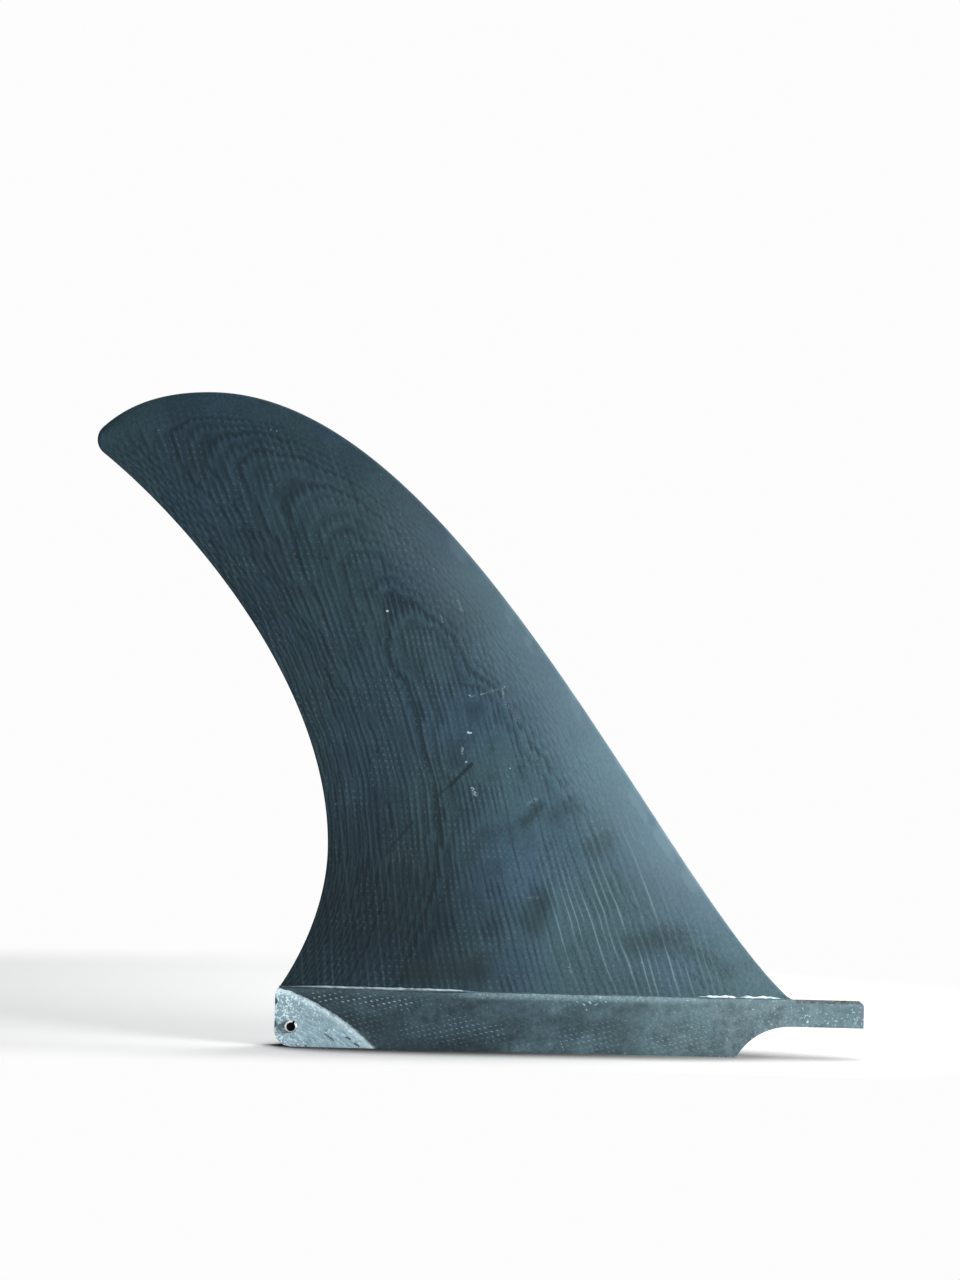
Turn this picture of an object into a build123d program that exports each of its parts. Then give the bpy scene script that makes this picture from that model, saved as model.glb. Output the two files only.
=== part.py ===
from build123d import *
import os
from math import atan, cos, hypot, pi, radians, sin, sqrt

# Longboard fin: one glass-fibre laminate, with the slotted spring pin across its rear end.
# Millimetres. X runs forward to the tongue, Y across the fin and Z up to the crown.
# The origin is the middle of the flat foot of the tab.

# Tab that drops into the slot of the fin box
TAB_THICKNESS = 9.3
TAB_DEPTH = 22.6
TAB_LENGTH = 227.3
FOOT_LENGTH = 171.8
REAR_FOOT_RADIUS = 6.5
REAR_TOP_RADIUS = 3.0
SHOULDER_DROP = 2.2
SHOULDER_SETBACK = 0.6
FOOT_EDGE_RADIUS = 0.3

# Tongue that carries the fixing screw
TONGUE_HEIGHT = 9.8
TONGUE_DROP = 0.5
TONGUE_TOP_RADIUS = 1.6
TONGUE_SIDE_RADIUS = 1.2
NOTCH_RADIUS = 23.8
SCREW_HOLE_RADIUS = 2.4
SCREW_FROM_END = 8.5

# Disc-ground relief in both faces of the tab, at its rear foot corner
RELIEF_DEPTH = 0.6
RELIEF_RADIUS = 100.0
RELIEF_FOOT_REACH = 40.0
RELIEF_REAR_REACH = 23.5

# Slotted spring pin across the rear of the tab
PIN_RADIUS = 2.35
PIN_WALL = 0.6
PIN_LENGTH = 12.7
PIN_SLOT = 0.9
PIN_SLOT_ANGLE = 60.0
PIN_CHAMFER = 0.35
PIN_CLEARANCE = 0.03
PIN_FROM_REAR = 6.45
PIN_HEIGHT = 7.8

# Side outline of the blade. Setbacks are counted back from its front root corner, heights up
# from the board line and angles from straight ahead; a pull is the length of a curve handle.
BASE_CHORD = 197.6
REAR_ROOT_INSET = 1.35
BLADE_DEPTH = 229.4
CROWN_SETBACK = 228.3
CROWN_FRONT_PULL = 94.7
CROWN_REAR_PULL = 24.4
LEAD_ROOT_ANGLE = 138.6
LEAD_ROOT_PULL = 69.4
TIP_SETBACK = 266.5
TIP_DROP = 19.3
TIP_RADIUS = 6.6
TIP_LEAD_ANGLE = 133.0
TIP_LEAD_PULL = 8.8
TIP_TRAIL_ANGLE = 232.0
TIP_TRAIL_PULL = 46.5
THROAT_SETBACK = 180.2
THROAT_HEIGHT = 53.8
THROAT_UPPER_PULL = 60.6
THROAT_LOWER_PULL = 18.7
TRAIL_ROOT_ANGLE = 56.7
TRAIL_ROOT_PULL = 18.4

# Foil. The laminate keeps its full thickness as a flat land low down and is ground away towards
# both edges and the tip. Land bounds are shares of the local chord from the trailing edge, and
# the land's span is a share of the way to the tip.
PANEL_THICKNESS = 8.0
TIP_THICKNESS = 2.4
TRAIL_EDGE_THICKNESS = 1.4
LEAD_EDGE_RADIUS = 1.5
LAND_REAR_SHARE = 0.30
LAND_FRONT_SHARE = 0.80
RIDGE_SHARE = 0.62
LAND_SPAN_SHARE = 0.45
TAPER_POWER = 1.4
ROOT_EMBED = 2.0

# Stations of the foil, evenly spaced along both edges up to where the tip closes
BLADE_STATIONS = 14
NOSE_STATIONS = 5
NOSE_SHARE = 0.98
LAST_SHARE = 0.9995
FOIL_POINTS = 12

TAB_REAR = -FOOT_LENGTH / 2 - REAR_FOOT_RADIUS
FOOT_FRONT = FOOT_LENGTH / 2
TONGUE_END = TAB_REAR + TAB_LENGTH
TONGUE_TOP = TAB_DEPTH - TONGUE_DROP
TONGUE_UNDERSIDE = TONGUE_TOP - TONGUE_HEIGHT
NOTCH_START = FOOT_FRONT + sqrt(NOTCH_RADIUS**2 - (NOTCH_RADIUS - TONGUE_UNDERSIDE) ** 2)
REAR_ROOT = TAB_REAR + REAR_ROOT_INSET
FRONT_ROOT = REAR_ROOT + BASE_CHORD
PIN_AXIS = TAB_REAR + PIN_FROM_REAR


def heading(angle):
    """Unit vector in the fin's middle plane, at an angle from straight ahead."""
    return Vector(cos(radians(angle)), 0, sin(radians(angle)))


def tip_centre():
    """Centre of the arc that rounds the tip."""
    return Vector(FRONT_ROOT - TIP_SETBACK, 0, TAB_DEPTH + BLADE_DEPTH - TIP_DROP)


def tip_arc(start, turn):
    """Half of the tip's rounding, from a contact angle to the point of the nose."""
    centre = tip_centre()
    stops = [centre + heading(start + turn * part) * TIP_RADIUS for part in (0, 0.5, 1)]
    return ThreePointArc(*stops)


def leading_edge():
    """Edges from the front root corner over the crown to the point of the nose."""
    root = Vector(FRONT_ROOT, 0, TAB_DEPTH)
    crown = Vector(FRONT_ROOT - CROWN_SETBACK, 0, TAB_DEPTH + BLADE_DEPTH)
    nose = tip_arc(TIP_LEAD_ANGLE, (TIP_TRAIL_ANGLE - TIP_LEAD_ANGLE) / 2)
    rise = Bezier(
        root,
        root + heading(LEAD_ROOT_ANGLE) * LEAD_ROOT_PULL,
        crown + heading(0) * CROWN_FRONT_PULL,
        crown,
    )
    crest = Bezier(
        crown,
        crown + heading(180) * CROWN_REAR_PULL,
        nose @ 0 + heading(TIP_LEAD_ANGLE - 90) * TIP_LEAD_PULL,
        nose @ 0,
    )
    return [rise, crest, nose]


def trailing_edge():
    """Edges from the rear root corner round the throat to the point of the nose."""
    root = Vector(REAR_ROOT, 0, TAB_DEPTH)
    throat = Vector(FRONT_ROOT - THROAT_SETBACK, 0, TAB_DEPTH + THROAT_HEIGHT)
    nose = tip_arc(TIP_TRAIL_ANGLE, (TIP_LEAD_ANGLE - TIP_TRAIL_ANGLE) / 2)
    heel = Bezier(
        root,
        root + heading(TRAIL_ROOT_ANGLE) * TRAIL_ROOT_PULL,
        throat + heading(270) * THROAT_LOWER_PULL,
        throat,
    )
    sweep = Bezier(
        throat,
        throat + heading(90) * THROAT_UPPER_PULL,
        nose @ 0 + heading(TIP_TRAIL_ANGLE + 90) * TIP_TRAIL_PULL,
        nose @ 0,
    )
    return [heel, sweep, nose]


def along(edges, share):
    """Point at a share of the length of a chain of edges."""
    distance = share * sum(edge.length for edge in edges)
    for edge in edges[:-1]:
        if distance < edge.length:
            return edge.position_at(distance, position_mode=PositionMode.LENGTH)
        distance -= edge.length
    return edges[-1].position_at(distance, position_mode=PositionMode.LENGTH)


def land_at(span):
    """Rear and front bounds of the flat land, which fades to a ridge up the blade."""
    fade = max(0.0, 1 - span / LAND_SPAN_SHARE)
    rear = RIDGE_SHARE + (LAND_REAR_SHARE - RIDGE_SHARE) * fade
    front = RIDGE_SHARE + (LAND_FRONT_SHARE - RIDGE_SHARE) * fade
    return rear, front


def ridge_at(span, chord):
    """Half of the thickness at the ridge, rounded off where the chord closes at the nose."""
    ground = max(0.0, (span - LAND_SPAN_SHARE) / (1 - LAND_SPAN_SHARE)) ** TAPER_POWER
    half = (PANEL_THICKNESS + (TIP_THICKNESS - PANEL_THICKNESS) * ground) / 2
    short_of_nose = chord**2 / (8 * TIP_RADIUS)
    closing = min(1.0, short_of_nose / half)
    return half * sqrt(1 - (1 - closing) ** 2)


def bevel(share, land, ridge, trail, lead):
    """Half thickness at a share of the chord: a parabola down to each edge from the land."""
    rear, front = land
    if share < rear:
        return ridge - (ridge - trail) * (1 - share / rear) ** 2
    if share > front:
        return ridge - (ridge - lead) * ((share - front) / (1 - front)) ** 2
    return ridge


def foil_section(span):
    """Closed foil at one station: blunt trailing edge, round leading edge, two ground faces."""
    tail = along(trailing_edge(), span)
    head = along(leading_edge(), span)
    chord = (head - tail).length
    forward = (head - tail).normalized()
    sideways = Vector(0, 1, 0)
    land = land_at(span)
    ridge = ridge_at(span, chord)
    trail = min(TRAIL_EDGE_THICKNESS, ridge) / 2
    lead = min(LEAD_EDGE_RADIUS, ridge / 2)
    rear_slope = atan(2 * (ridge - trail) / (land[0] * chord))
    front_slope = atan(2 * (ridge - lead) / ((1 - land[1]) * chord))
    run = chord - lead * (1 - sin(front_slope))
    shares = [(1 - cos(pi * step / FOIL_POINTS)) / 2 for step in range(FOIL_POINTS + 1)]
    points = []
    for share in shares:
        half = bevel(share, land, ridge, trail, lead * cos(front_slope))
        points.append(tail + forward * share * run + sideways * half)
    climb = forward * cos(rear_slope) + sideways * sin(rear_slope)
    fall = forward * cos(front_slope) - sideways * sin(front_slope)
    near = Edge.make_spline(points, tangents=[climb, fall], parameters=shares)
    far = near.mirror(Plane.XZ)
    blunt = Line(near @ 0, far @ 0)
    rounding = ThreePointArc(near @ 1, head, far @ 1)
    return Face(Wire([blunt, far, rounding, near]))


def blade():
    """Foiled blade with its rounded nose, and a stub under it that is bedded in the tab."""
    spans = [NOSE_SHARE * step / BLADE_STATIONS for step in range(BLADE_STATIONS + 1)]
    sections = [foil_section(span) for span in spans]
    left = [(1 - step / NOSE_STATIONS) ** 2 for step in range(NOSE_STATIONS)]
    closing = [1 - (1 - NOSE_SHARE) * share for share in left]
    tip_sections = [foil_section(span) for span in closing + [LAST_SHARE]]
    stub = extrude(sections[0], amount=ROOT_EMBED, dir=(0, 0, -1))
    return stub + loft(sections) + loft(tip_sections, ruled=True)


def round_corner(outline, x, y, radius):
    """Outline with the corner nearest to a point rounded."""
    corner = outline.vertices().sort_by_distance((x, y))[0]
    return fillet(corner, radius)


def tab_side():
    """Side view of the tab: flat foot, ground notch and tongue."""
    rise = NOTCH_RADIUS - TONGUE_UNDERSIDE
    half_turn = (pi / 2 - atan(rise / (NOTCH_START - FOOT_FRONT))) / 2
    notch_middle = (
        NOTCH_START - NOTCH_RADIUS * sin(half_turn),
        TONGUE_UNDERSIDE - NOTCH_RADIUS * (1 - cos(half_turn)),
    )
    foot = Line((TAB_REAR, 0), (FOOT_FRONT, 0))
    notch = ThreePointArc(foot @ 1, notch_middle, (NOTCH_START, TONGUE_UNDERSIDE))
    back = Polyline(
        notch @ 1,
        (TONGUE_END, TONGUE_UNDERSIDE),
        (TONGUE_END, TONGUE_TOP),
        (FRONT_ROOT, TONGUE_TOP),
        (FRONT_ROOT, TAB_DEPTH),
        (TAB_REAR, TAB_DEPTH),
        foot @ 0,
    )
    outline = make_face(foot + notch + back)
    outline = round_corner(outline, TAB_REAR, 0, REAR_FOOT_RADIUS)
    outline = round_corner(outline, TAB_REAR, TAB_DEPTH, REAR_TOP_RADIUS)
    outline = round_corner(outline, TONGUE_END, TONGUE_TOP, TONGUE_TOP_RADIUS)
    return extrude(Plane.XZ * outline, amount=TAB_THICKNESS / 2, both=True)


def tab_end():
    """End view of the tab: shoulders that slope in to the blade, and broken foot edges."""
    half = TAB_THICKNESS / 2
    right = [(half, 0), (half, TAB_DEPTH - SHOULDER_DROP), (half - SHOULDER_SETBACK, TAB_DEPTH)]
    left = [(-y, z) for y, z in reversed(right)]
    outline = make_face(Polyline(*right, *left, close=True))
    outline = fillet(outline.vertices().group_by(Axis.Y)[0], FOOT_EDGE_RADIUS)
    return extrude(Plane.YZ * outline, amount=TAB_LENGTH, both=True)


def tab_plan():
    """Plan view of the tab: rounded corners at the end of the tongue."""
    outline = Pos(TAB_REAR + TAB_LENGTH / 2, 0) * Rectangle(TAB_LENGTH, TAB_THICKNESS)
    outline = fillet(outline.vertices().group_by(Axis.X)[-1], TONGUE_SIDE_RADIUS)
    return extrude(outline, amount=TAB_DEPTH)


def across(x, z, radius, length):
    """Round bar across the fin, centred on its middle plane."""
    circle = Plane.XZ * Pos(x, z) * Circle(radius)
    return extrude(circle, amount=length / 2, both=True)


def relief_cuts():
    """Bites of the grinding disc, whose rim crosses the foot and the tab's rear edge."""
    chord = hypot(RELIEF_FOOT_REACH, RELIEF_REAR_REACH)
    sink = sqrt(RELIEF_RADIUS**2 - chord**2 / 4)
    x = TAB_REAR + RELIEF_FOOT_REACH / 2 - sink * RELIEF_REAR_REACH / chord
    z = RELIEF_REAR_REACH / 2 - sink * RELIEF_FOOT_REACH / chord
    outside = across(x, z, RELIEF_RADIUS, TAB_THICKNESS + 2 * RELIEF_DEPTH)
    kept = across(x, z, RELIEF_RADIUS, TAB_THICKNESS - 2 * RELIEF_DEPTH)
    return outside - kept


def tab():
    """Tab with its tongue, its relief and its two holes."""
    solid = tab_side() & tab_end() & tab_plan()
    solid -= relief_cuts()
    solid -= across(PIN_AXIS, PIN_HEIGHT, PIN_RADIUS + PIN_CLEARANCE, TAB_THICKNESS)
    screw_circle = Pos(TONGUE_END - SCREW_FROM_END, 0) * Circle(SCREW_HOLE_RADIUS)
    return solid - extrude(screw_circle, amount=TAB_DEPTH)


def fin():
    """The laminate: foiled blade and tab in one piece."""
    return tab() + blade()


def roll_pin():
    """Spring pin: a rolled strip with an open slot, chamfered at both ends."""
    place = Plane.XZ * Pos(PIN_AXIS, PIN_HEIGHT)
    slot = Rot(0, 0, PIN_SLOT_ANGLE) * Pos(PIN_RADIUS, 0) * Rectangle(2 * PIN_RADIUS, PIN_SLOT)
    strip = Circle(PIN_RADIUS) - Circle(PIN_RADIUS - PIN_WALL) - slot
    pin = extrude(place * strip, amount=PIN_LENGTH / 2, both=True)
    arcs = pin.edges().filter_by(GeomType.CIRCLE)
    outer_rims = [arc for arc in arcs if arc.radius > PIN_RADIUS - PIN_WALL / 2]
    return chamfer(outer_rims, PIN_CHAMFER)


os.makedirs("parts", exist_ok=True)
export_step(fin(), "parts/fin.step")
export_step(roll_pin(), "parts/roll_pin.step")
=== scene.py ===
"""Looks of the longboard fin: its ground laminate, the resin along its joint and its cross pin."""

import logging
from bisect import bisect_right
from collections.abc import Callable
from dataclasses import dataclass, field
from enum import Enum
from math import atan, atan2, cos, hypot, pi, radians, sin, sqrt, tan

import bmesh
import bpy
from mathutils import Matrix, Vector, geometry, kdtree, noise


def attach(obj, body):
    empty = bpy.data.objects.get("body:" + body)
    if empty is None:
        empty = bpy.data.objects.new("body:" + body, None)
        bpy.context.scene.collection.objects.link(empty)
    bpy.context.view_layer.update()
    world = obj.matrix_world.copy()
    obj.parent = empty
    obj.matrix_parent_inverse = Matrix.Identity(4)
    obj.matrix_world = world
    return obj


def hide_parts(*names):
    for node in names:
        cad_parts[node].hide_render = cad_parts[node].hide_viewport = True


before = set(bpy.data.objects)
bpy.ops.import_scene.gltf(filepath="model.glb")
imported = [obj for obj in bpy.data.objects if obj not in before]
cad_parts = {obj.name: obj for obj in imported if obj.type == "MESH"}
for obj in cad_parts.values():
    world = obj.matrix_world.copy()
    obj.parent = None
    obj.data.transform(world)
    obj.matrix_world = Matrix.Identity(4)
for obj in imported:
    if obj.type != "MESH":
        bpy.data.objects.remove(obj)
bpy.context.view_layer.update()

MM = 0.001
BODY = "root"
FROM_LEAD = "from_lead"
LOG = logging.getLogger("longboard_fin")
Triple = tuple[float, float, float]
Colour = Triple
Grain = Triple
Ramp = tuple[float, float, float, float]
Wander = tuple[float, float]


class Slot(Enum):
    """Material slots of the record."""

    LAMINATE = "laminate"
    STEEL = "pin_steel"


class Joining(Enum):
    """Ways in which one solid is worked into another."""

    ADD = "UNION"
    CUT = "DIFFERENCE"


class MarkKind(Enum):
    """Kinds of marks on the near face."""

    PALE = "pale"
    DARK = "dark"
    STAIN = "stain"
    KNUCKLES = "knuckles"


def smoothstep(low: float, high: float, value: float) -> float:
    """Soft step from 0 at low to 1 at high."""
    share = min(1.0, max(0.0, (value - low) / (high - low)))
    return share * share * (3 - 2 * share)


def between(span: Ramp, value: float) -> float:
    """Share that rises over the first two of four places and falls over the last two."""
    return smoothstep(span[0], span[1], value) * (1 - smoothstep(span[2], span[3], value))


def heading(angle: float) -> Vector:
    """Unit vector in the fin's middle plane, at an angle in degrees from straight ahead."""
    return Vector((cos(radians(angle)), 0, sin(radians(angle))))


def as_object(name: str, shape: bmesh.types.BMesh) -> bpy.types.Object:
    """Turns a shape in millimetres into an object in metres.

    Args:
        name: Name of the object.
        shape: The shape, which is freed.

    Returns:
        The object, linked to the scene and lying at the origin.
    """
    bmesh.ops.scale(shape, vec=(MM, MM, MM), verts=shape.verts)
    mesh = bpy.data.meshes.new(name)
    shape.to_mesh(mesh)
    shape.free()
    thing = bpy.data.objects.new(name, mesh)
    bpy.context.scene.collection.objects.link(thing)
    return thing


def settle(thing: bpy.types.Object) -> None:
    """Applies an object's modifiers to its mesh.

    Args:
        thing: The object.
    """
    depsgraph = bpy.context.evaluated_depsgraph_get()
    mesh = bpy.data.meshes.new_from_object(thing.evaluated_get(depsgraph))
    thing.modifiers.clear()
    thing.data = mesh


def work_in(target: bpy.types.Object, tool: bpy.types.Object, joining: Joining) -> None:
    """Adds a tool's solid to a target or cuts it out, and removes the tool.

    Args:
        target: The object that is changed.
        tool: The object that is added or cut out.
        joining: Whether the tool adds or cuts.
    """
    boolean = target.modifiers.new("work", "BOOLEAN")
    boolean.object = tool
    boolean.operation = joining.value
    boolean.solver = "EXACT"
    settle(target)
    bpy.data.objects.remove(tool)


def round_bar(axis: Vector, place: Vector, radius: float, length: float) -> bmesh.types.BMesh:
    """Round bar, used as a drill.

    Args:
        axis: Direction of the bar.
        place: Its middle.
        radius: Its radius.
        length: Its length.

    Returns:
        The bar's shape.
    """
    bar = bmesh.new()
    turn = axis.to_track_quat("Z", "Y").to_matrix().to_4x4()
    bmesh.ops.create_cone(
        bar, cap_ends=True, segments=64, radius1=radius, radius2=radius, depth=length,
        matrix=Matrix.Translation(place) @ turn,
    )
    return bar


def grid_shape(columns: int, rows: int,
               place: Callable[[float, float], Vector]) -> bmesh.types.BMesh:
    """Sheet made of a grid.

    Args:
        columns: Number of its columns.
        rows: Number of its rows.
        place: Gives a point from its shares of the way across and up the grid.

    Returns:
        The sheet's shape.
    """
    sheet = bmesh.new()
    bmesh.ops.create_grid(sheet, x_segments=columns, y_segments=rows, size=1)
    for vert in sheet.verts:
        vert.co = place((vert.co.x + 1) / 2, (vert.co.y + 1) / 2)
    return sheet


def close(shape: bmesh.types.BMesh, seam: float = 1e-4) -> bmesh.types.BMesh:
    """Joins a sheet's seams, fills its open rims and turns its faces outwards.

    Args:
        shape: The sheet's shape.
        seam: Distance within which points are joined.

    Returns:
        The same shape, closed.
    """
    bmesh.ops.remove_doubles(shape, verts=shape.verts, dist=seam)
    rim = [edge for edge in shape.edges if edge.is_boundary]
    if rim:
        bmesh.ops.holes_fill(shape, edges=rim, sides=0)
    bmesh.ops.recalc_face_normals(shape, faces=shape.faces)
    return shape


def extrude(shape: bmesh.types.BMesh, faces: list[bmesh.types.BMFace]) -> list[bmesh.types.BMVert]:
    """Extrudes faces and returns their new points, which still have to be moved."""
    grown = bmesh.ops.extrude_face_region(shape, geom=faces)
    return [item for item in grown["geom"] if isinstance(item, bmesh.types.BMVert)]


def round_off(shape: bmesh.types.BMesh, items: list, radius: float, segments: int,
              affect: str) -> None:
    """Rounds off edges or corners of a shape."""
    bmesh.ops.bevel(shape, geom=items, offset=radius, offset_type="OFFSET", segments=segments,
                    profile=0.5, affect=affect, material=-1)


class EdgeLine:
    """One edge of the blade, measured along its length."""

    def __init__(self, points: list[Vector]) -> None:
        """Takes the edge's points in order.

        Args:
            points: Points along the edge.
        """
        self.points = points
        self.reach = [0.0]
        for near, far in zip(points, points[1:]):
            self.reach.append(self.reach[-1] + (far - near).length)

    def at(self, share: float) -> Vector:
        """Point at a share of the edge's length.

        Args:
            share: Share of the edge's length, from 0 to 1.

        Returns:
            The point.
        """
        distance = share * self.reach[-1]
        index = min(bisect_right(self.reach, distance), len(self.points) - 1)
        before, after = self.reach[index - 1], self.reach[index]
        part = (distance - before) / (after - before)
        return self.points[index - 1].lerp(self.points[index], part)


@dataclass(frozen=True)
class Planform:
    """Side outline of the blade, in millimetres.

    Setbacks are counted back from the front root corner, heights up from the board line and
    angles from straight ahead. A pull is the length of a curve handle.
    """

    tab_depth: float = 22.6
    tab_rear: float = -92.4
    base_chord: float = 197.6
    rear_root_inset: float = 1.35
    blade_depth: float = 229.4
    crown_setback: float = 228.3
    crown_front_pull: float = 94.7
    crown_rear_pull: float = 24.4
    lead_root_angle: float = 138.6
    lead_root_pull: float = 69.4
    tip_setback: float = 266.5
    tip_drop: float = 19.3
    tip_radius: float = 6.6
    tip_lead_angle: float = 133.0
    tip_lead_pull: float = 8.8
    tip_trail_angle: float = 232.0
    tip_trail_pull: float = 46.5
    throat_setback: float = 180.2
    throat_height: float = 53.8
    throat_upper_pull: float = 60.6
    throat_lower_pull: float = 18.7
    trail_root_angle: float = 56.7
    trail_root_pull: float = 18.4
    curve_steps: int = 240
    nose_steps: int = 16

    @property
    def rear_root(self) -> float:
        """Place of the trailing edge at the board line."""
        return self.tab_rear + self.rear_root_inset

    @property
    def front_root(self) -> float:
        """Place of the leading edge at the board line."""
        return self.rear_root + self.base_chord

    def nose(self, start: float, turn: float) -> list[Vector]:
        """Points of half of the tip's rounding.

        Args:
            start: Angle at which the rounding starts.
            turn: Angle that it turns through.

        Returns:
            Points from the start to the point of the nose.
        """
        middle = Vector((self.front_root - self.tip_setback, 0,
                         self.tab_depth + self.blade_depth - self.tip_drop))
        steps = range(self.nose_steps + 1)
        return [middle + heading(start + turn * k / self.nose_steps) * self.tip_radius for k in steps]

    def curve(self, start: Vector, pull: Vector, push: Vector, end: Vector) -> list[Vector]:
        """Points of one curve with its two handles, its end left out."""
        points = geometry.interpolate_bezier(start, start + pull, end + push, end, self.curve_steps)
        return points[:-1]

    def leading_edge(self) -> EdgeLine:
        """Leading edge, from the front root corner over the crown to the nose.

        Returns:
            The edge's line.
        """
        root = Vector((self.front_root, 0, self.tab_depth))
        crown = Vector((self.front_root - self.crown_setback, 0, self.tab_depth + self.blade_depth))
        nose = self.nose(self.tip_lead_angle, (self.tip_trail_angle - self.tip_lead_angle) / 2)
        rise = self.curve(root, heading(self.lead_root_angle) * self.lead_root_pull,
                          heading(0) * self.crown_front_pull, crown)
        crest = self.curve(crown, heading(180) * self.crown_rear_pull,
                           heading(self.tip_lead_angle - 90) * self.tip_lead_pull, nose[0])
        return EdgeLine(rise + crest + nose)

    def trailing_edge(self) -> EdgeLine:
        """Trailing edge, from the rear root corner round the throat to the nose.

        Returns:
            The edge's line.
        """
        root = Vector((self.rear_root, 0, self.tab_depth))
        throat = Vector((self.front_root - self.throat_setback, 0,
                         self.tab_depth + self.throat_height))
        nose = self.nose(self.tip_trail_angle, (self.tip_lead_angle - self.tip_trail_angle) / 2)
        heel = self.curve(root, heading(self.trail_root_angle) * self.trail_root_pull,
                          heading(270) * self.throat_lower_pull, throat)
        sweep = self.curve(throat, heading(90) * self.throat_upper_pull,
                           heading(self.tip_trail_angle + 90) * self.tip_trail_pull, nose[0])
        return EdgeLine(heel + sweep + nose)


@dataclass
class Section:
    """One foil section: points of its near half, from the trailing to the leading edge."""

    tail: Vector
    forward: Vector
    half_profile: list[tuple[float, float]]

    def point(self, column: int) -> Vector:
        """Point of the closed section at a column of the blade's grid.

        Args:
            column: Number of the column, which runs on round the far half.

        Returns:
            The point.
        """
        last = len(self.half_profile) - 1
        far = column > last
        along, half = self.half_profile[2 * last - column if far else column]
        return self.tail + self.forward * along + Vector((0, half if far else -half, 0))


@dataclass
class Blade:
    """Foiled blade: a smooth shell with a blunt trailing edge and a round leading edge."""

    planform: Planform
    panel_thickness: float = 8.0
    tip_thickness: float = 2.4
    trail_edge_thickness: float = 1.4
    trail_corner_radius: float = 0.4
    lead_edge_radius: float = 1.5
    land_rear_share: float = 0.30
    land_front_share: float = 0.80
    ridge_share: float = 0.62
    land_span_share: float = 0.45
    taper_power: float = 1.4
    root_embed: float = 2.0
    rows: int = 230
    row_crowding: float = 1.5
    face_steps: int = 58
    corner_steps: int = 3
    nose_steps: int = 6
    start_lift: float = 0.02
    least_chord: float = 1e-3
    corner_limits: tuple[float, float] = (0.8, 0.125)
    sanding_wave: float = 0.035
    sanding_mean: float = 0.6
    sanded_from: float = 2.0
    side_shift: float = 40.0
    wave_length: float = 26.0

    def land_at(self, span: float) -> tuple[float, float]:
        """Rear and front bounds of the flat land, which fades to a ridge up the blade.

        Args:
            span: Share of the way to the tip.

        Returns:
            Both bounds as shares of the chord.
        """
        fade = max(0.0, 1 - span / self.land_span_share)
        rear = self.ridge_share + (self.land_rear_share - self.ridge_share) * fade
        front = self.ridge_share + (self.land_front_share - self.ridge_share) * fade
        return rear, front

    def ridge_at(self, span: float, chord: float) -> float:
        """Half of the thickness at the ridge, rounded off where the chord closes.

        Args:
            span: Share of the way to the tip.
            chord: Length of the section.

        Returns:
            The half thickness.
        """
        ground = max(0.0, (span - self.land_span_share) / (1 - self.land_span_share))
        drop = self.panel_thickness - self.tip_thickness
        half = (self.panel_thickness - drop * ground**self.taper_power) / 2
        closing = min(1.0, chord**2 / (8 * self.planform.tip_radius * half))
        return half * sqrt(1 - (1 - closing) ** 2)

    def section(self, span: float, lead: EdgeLine, trail: EdgeLine) -> Section:
        """Foil section at a share of the way to the tip.

        Args:
            span: Share of the length of both edges.
            lead: The leading edge.
            trail: The trailing edge.

        Returns:
            The section.
        """
        tail, head = trail.at(span), lead.at(span)
        chord = (head - tail).length
        if chord < self.least_chord:
            steps = self.corner_steps + self.face_steps + self.nose_steps + 1
            return Section(tail, heading(0), [(0.0, 0.0)] * steps)
        rear, front = self.land_at(span)
        ridge = self.ridge_at(span, chord)
        blunt = min(self.trail_edge_thickness, ridge) / 2
        blunt_limit, chord_limit = self.corner_limits
        corner = min(self.trail_corner_radius, blunt * blunt_limit, chord * chord_limit)
        tip = min(self.lead_edge_radius, ridge / 2)
        slope = atan(2 * (ridge - tip) / ((1 - front) * chord))
        run = chord - tip * (1 - sin(slope))
        profile = []
        for step in range(self.corner_steps):
            turn = pi / 2 * step / self.corner_steps
            profile.append((corner * (1 - cos(turn)), blunt - corner * (1 - sin(turn))))
        for step in range(self.face_steps):
            share = (1 - cos(pi * step / self.face_steps)) / 2
            share = corner / run + (1 - corner / run) * share
            half = ridge
            if share < rear:
                half = ridge - (ridge - blunt) * (1 - share / rear) ** 2
            if share > front:
                fall = (share - front) / (1 - front)
                half = ridge - (ridge - tip * cos(slope)) * fall**2
            profile.append((share * run, half))
        for step in range(self.nose_steps + 1):
            turn = (pi / 2 - slope) * (1 - step / self.nose_steps)
            profile.append((chord - tip + tip * cos(turn), tip * sin(turn)))
        return Section(tail, (head - tail) / chord, profile)

    def sections(self) -> list[Section]:
        """Sections from the bedded root to the nose, closer together towards the nose.

        Returns:
            The sections in order.
        """
        lead, trail = self.planform.leading_edge(), self.planform.trailing_edge()
        root = self.section(0, lead, trail)
        stub = Section(root.tail - heading(90) * self.root_embed, root.forward, root.half_profile)
        spans = [1 - (1 - k / self.rows) ** self.row_crowding for k in range(1, self.rows + 1)]
        start = Section(root.tail + heading(90) * self.start_lift, root.forward, root.half_profile)
        return [stub, start] + [self.section(span, lead, trail) for span in spans]

    def shape(self) -> bmesh.types.BMesh:
        """Closed shell of the blade.

        Returns:
            The shell's shape.
        """
        sections = self.sections()
        columns, rows = 2 * len(sections[0].half_profile) - 1, len(sections) - 1

        def point(round_share: float, up: float) -> Vector:
            """Point of the shell at its shares round a section and up the blade."""
            section = sections[round(up * rows)]
            return self.sanded(section.point(round(round_share * columns) % columns))

        return close(grid_shape(columns, rows, point))

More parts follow.
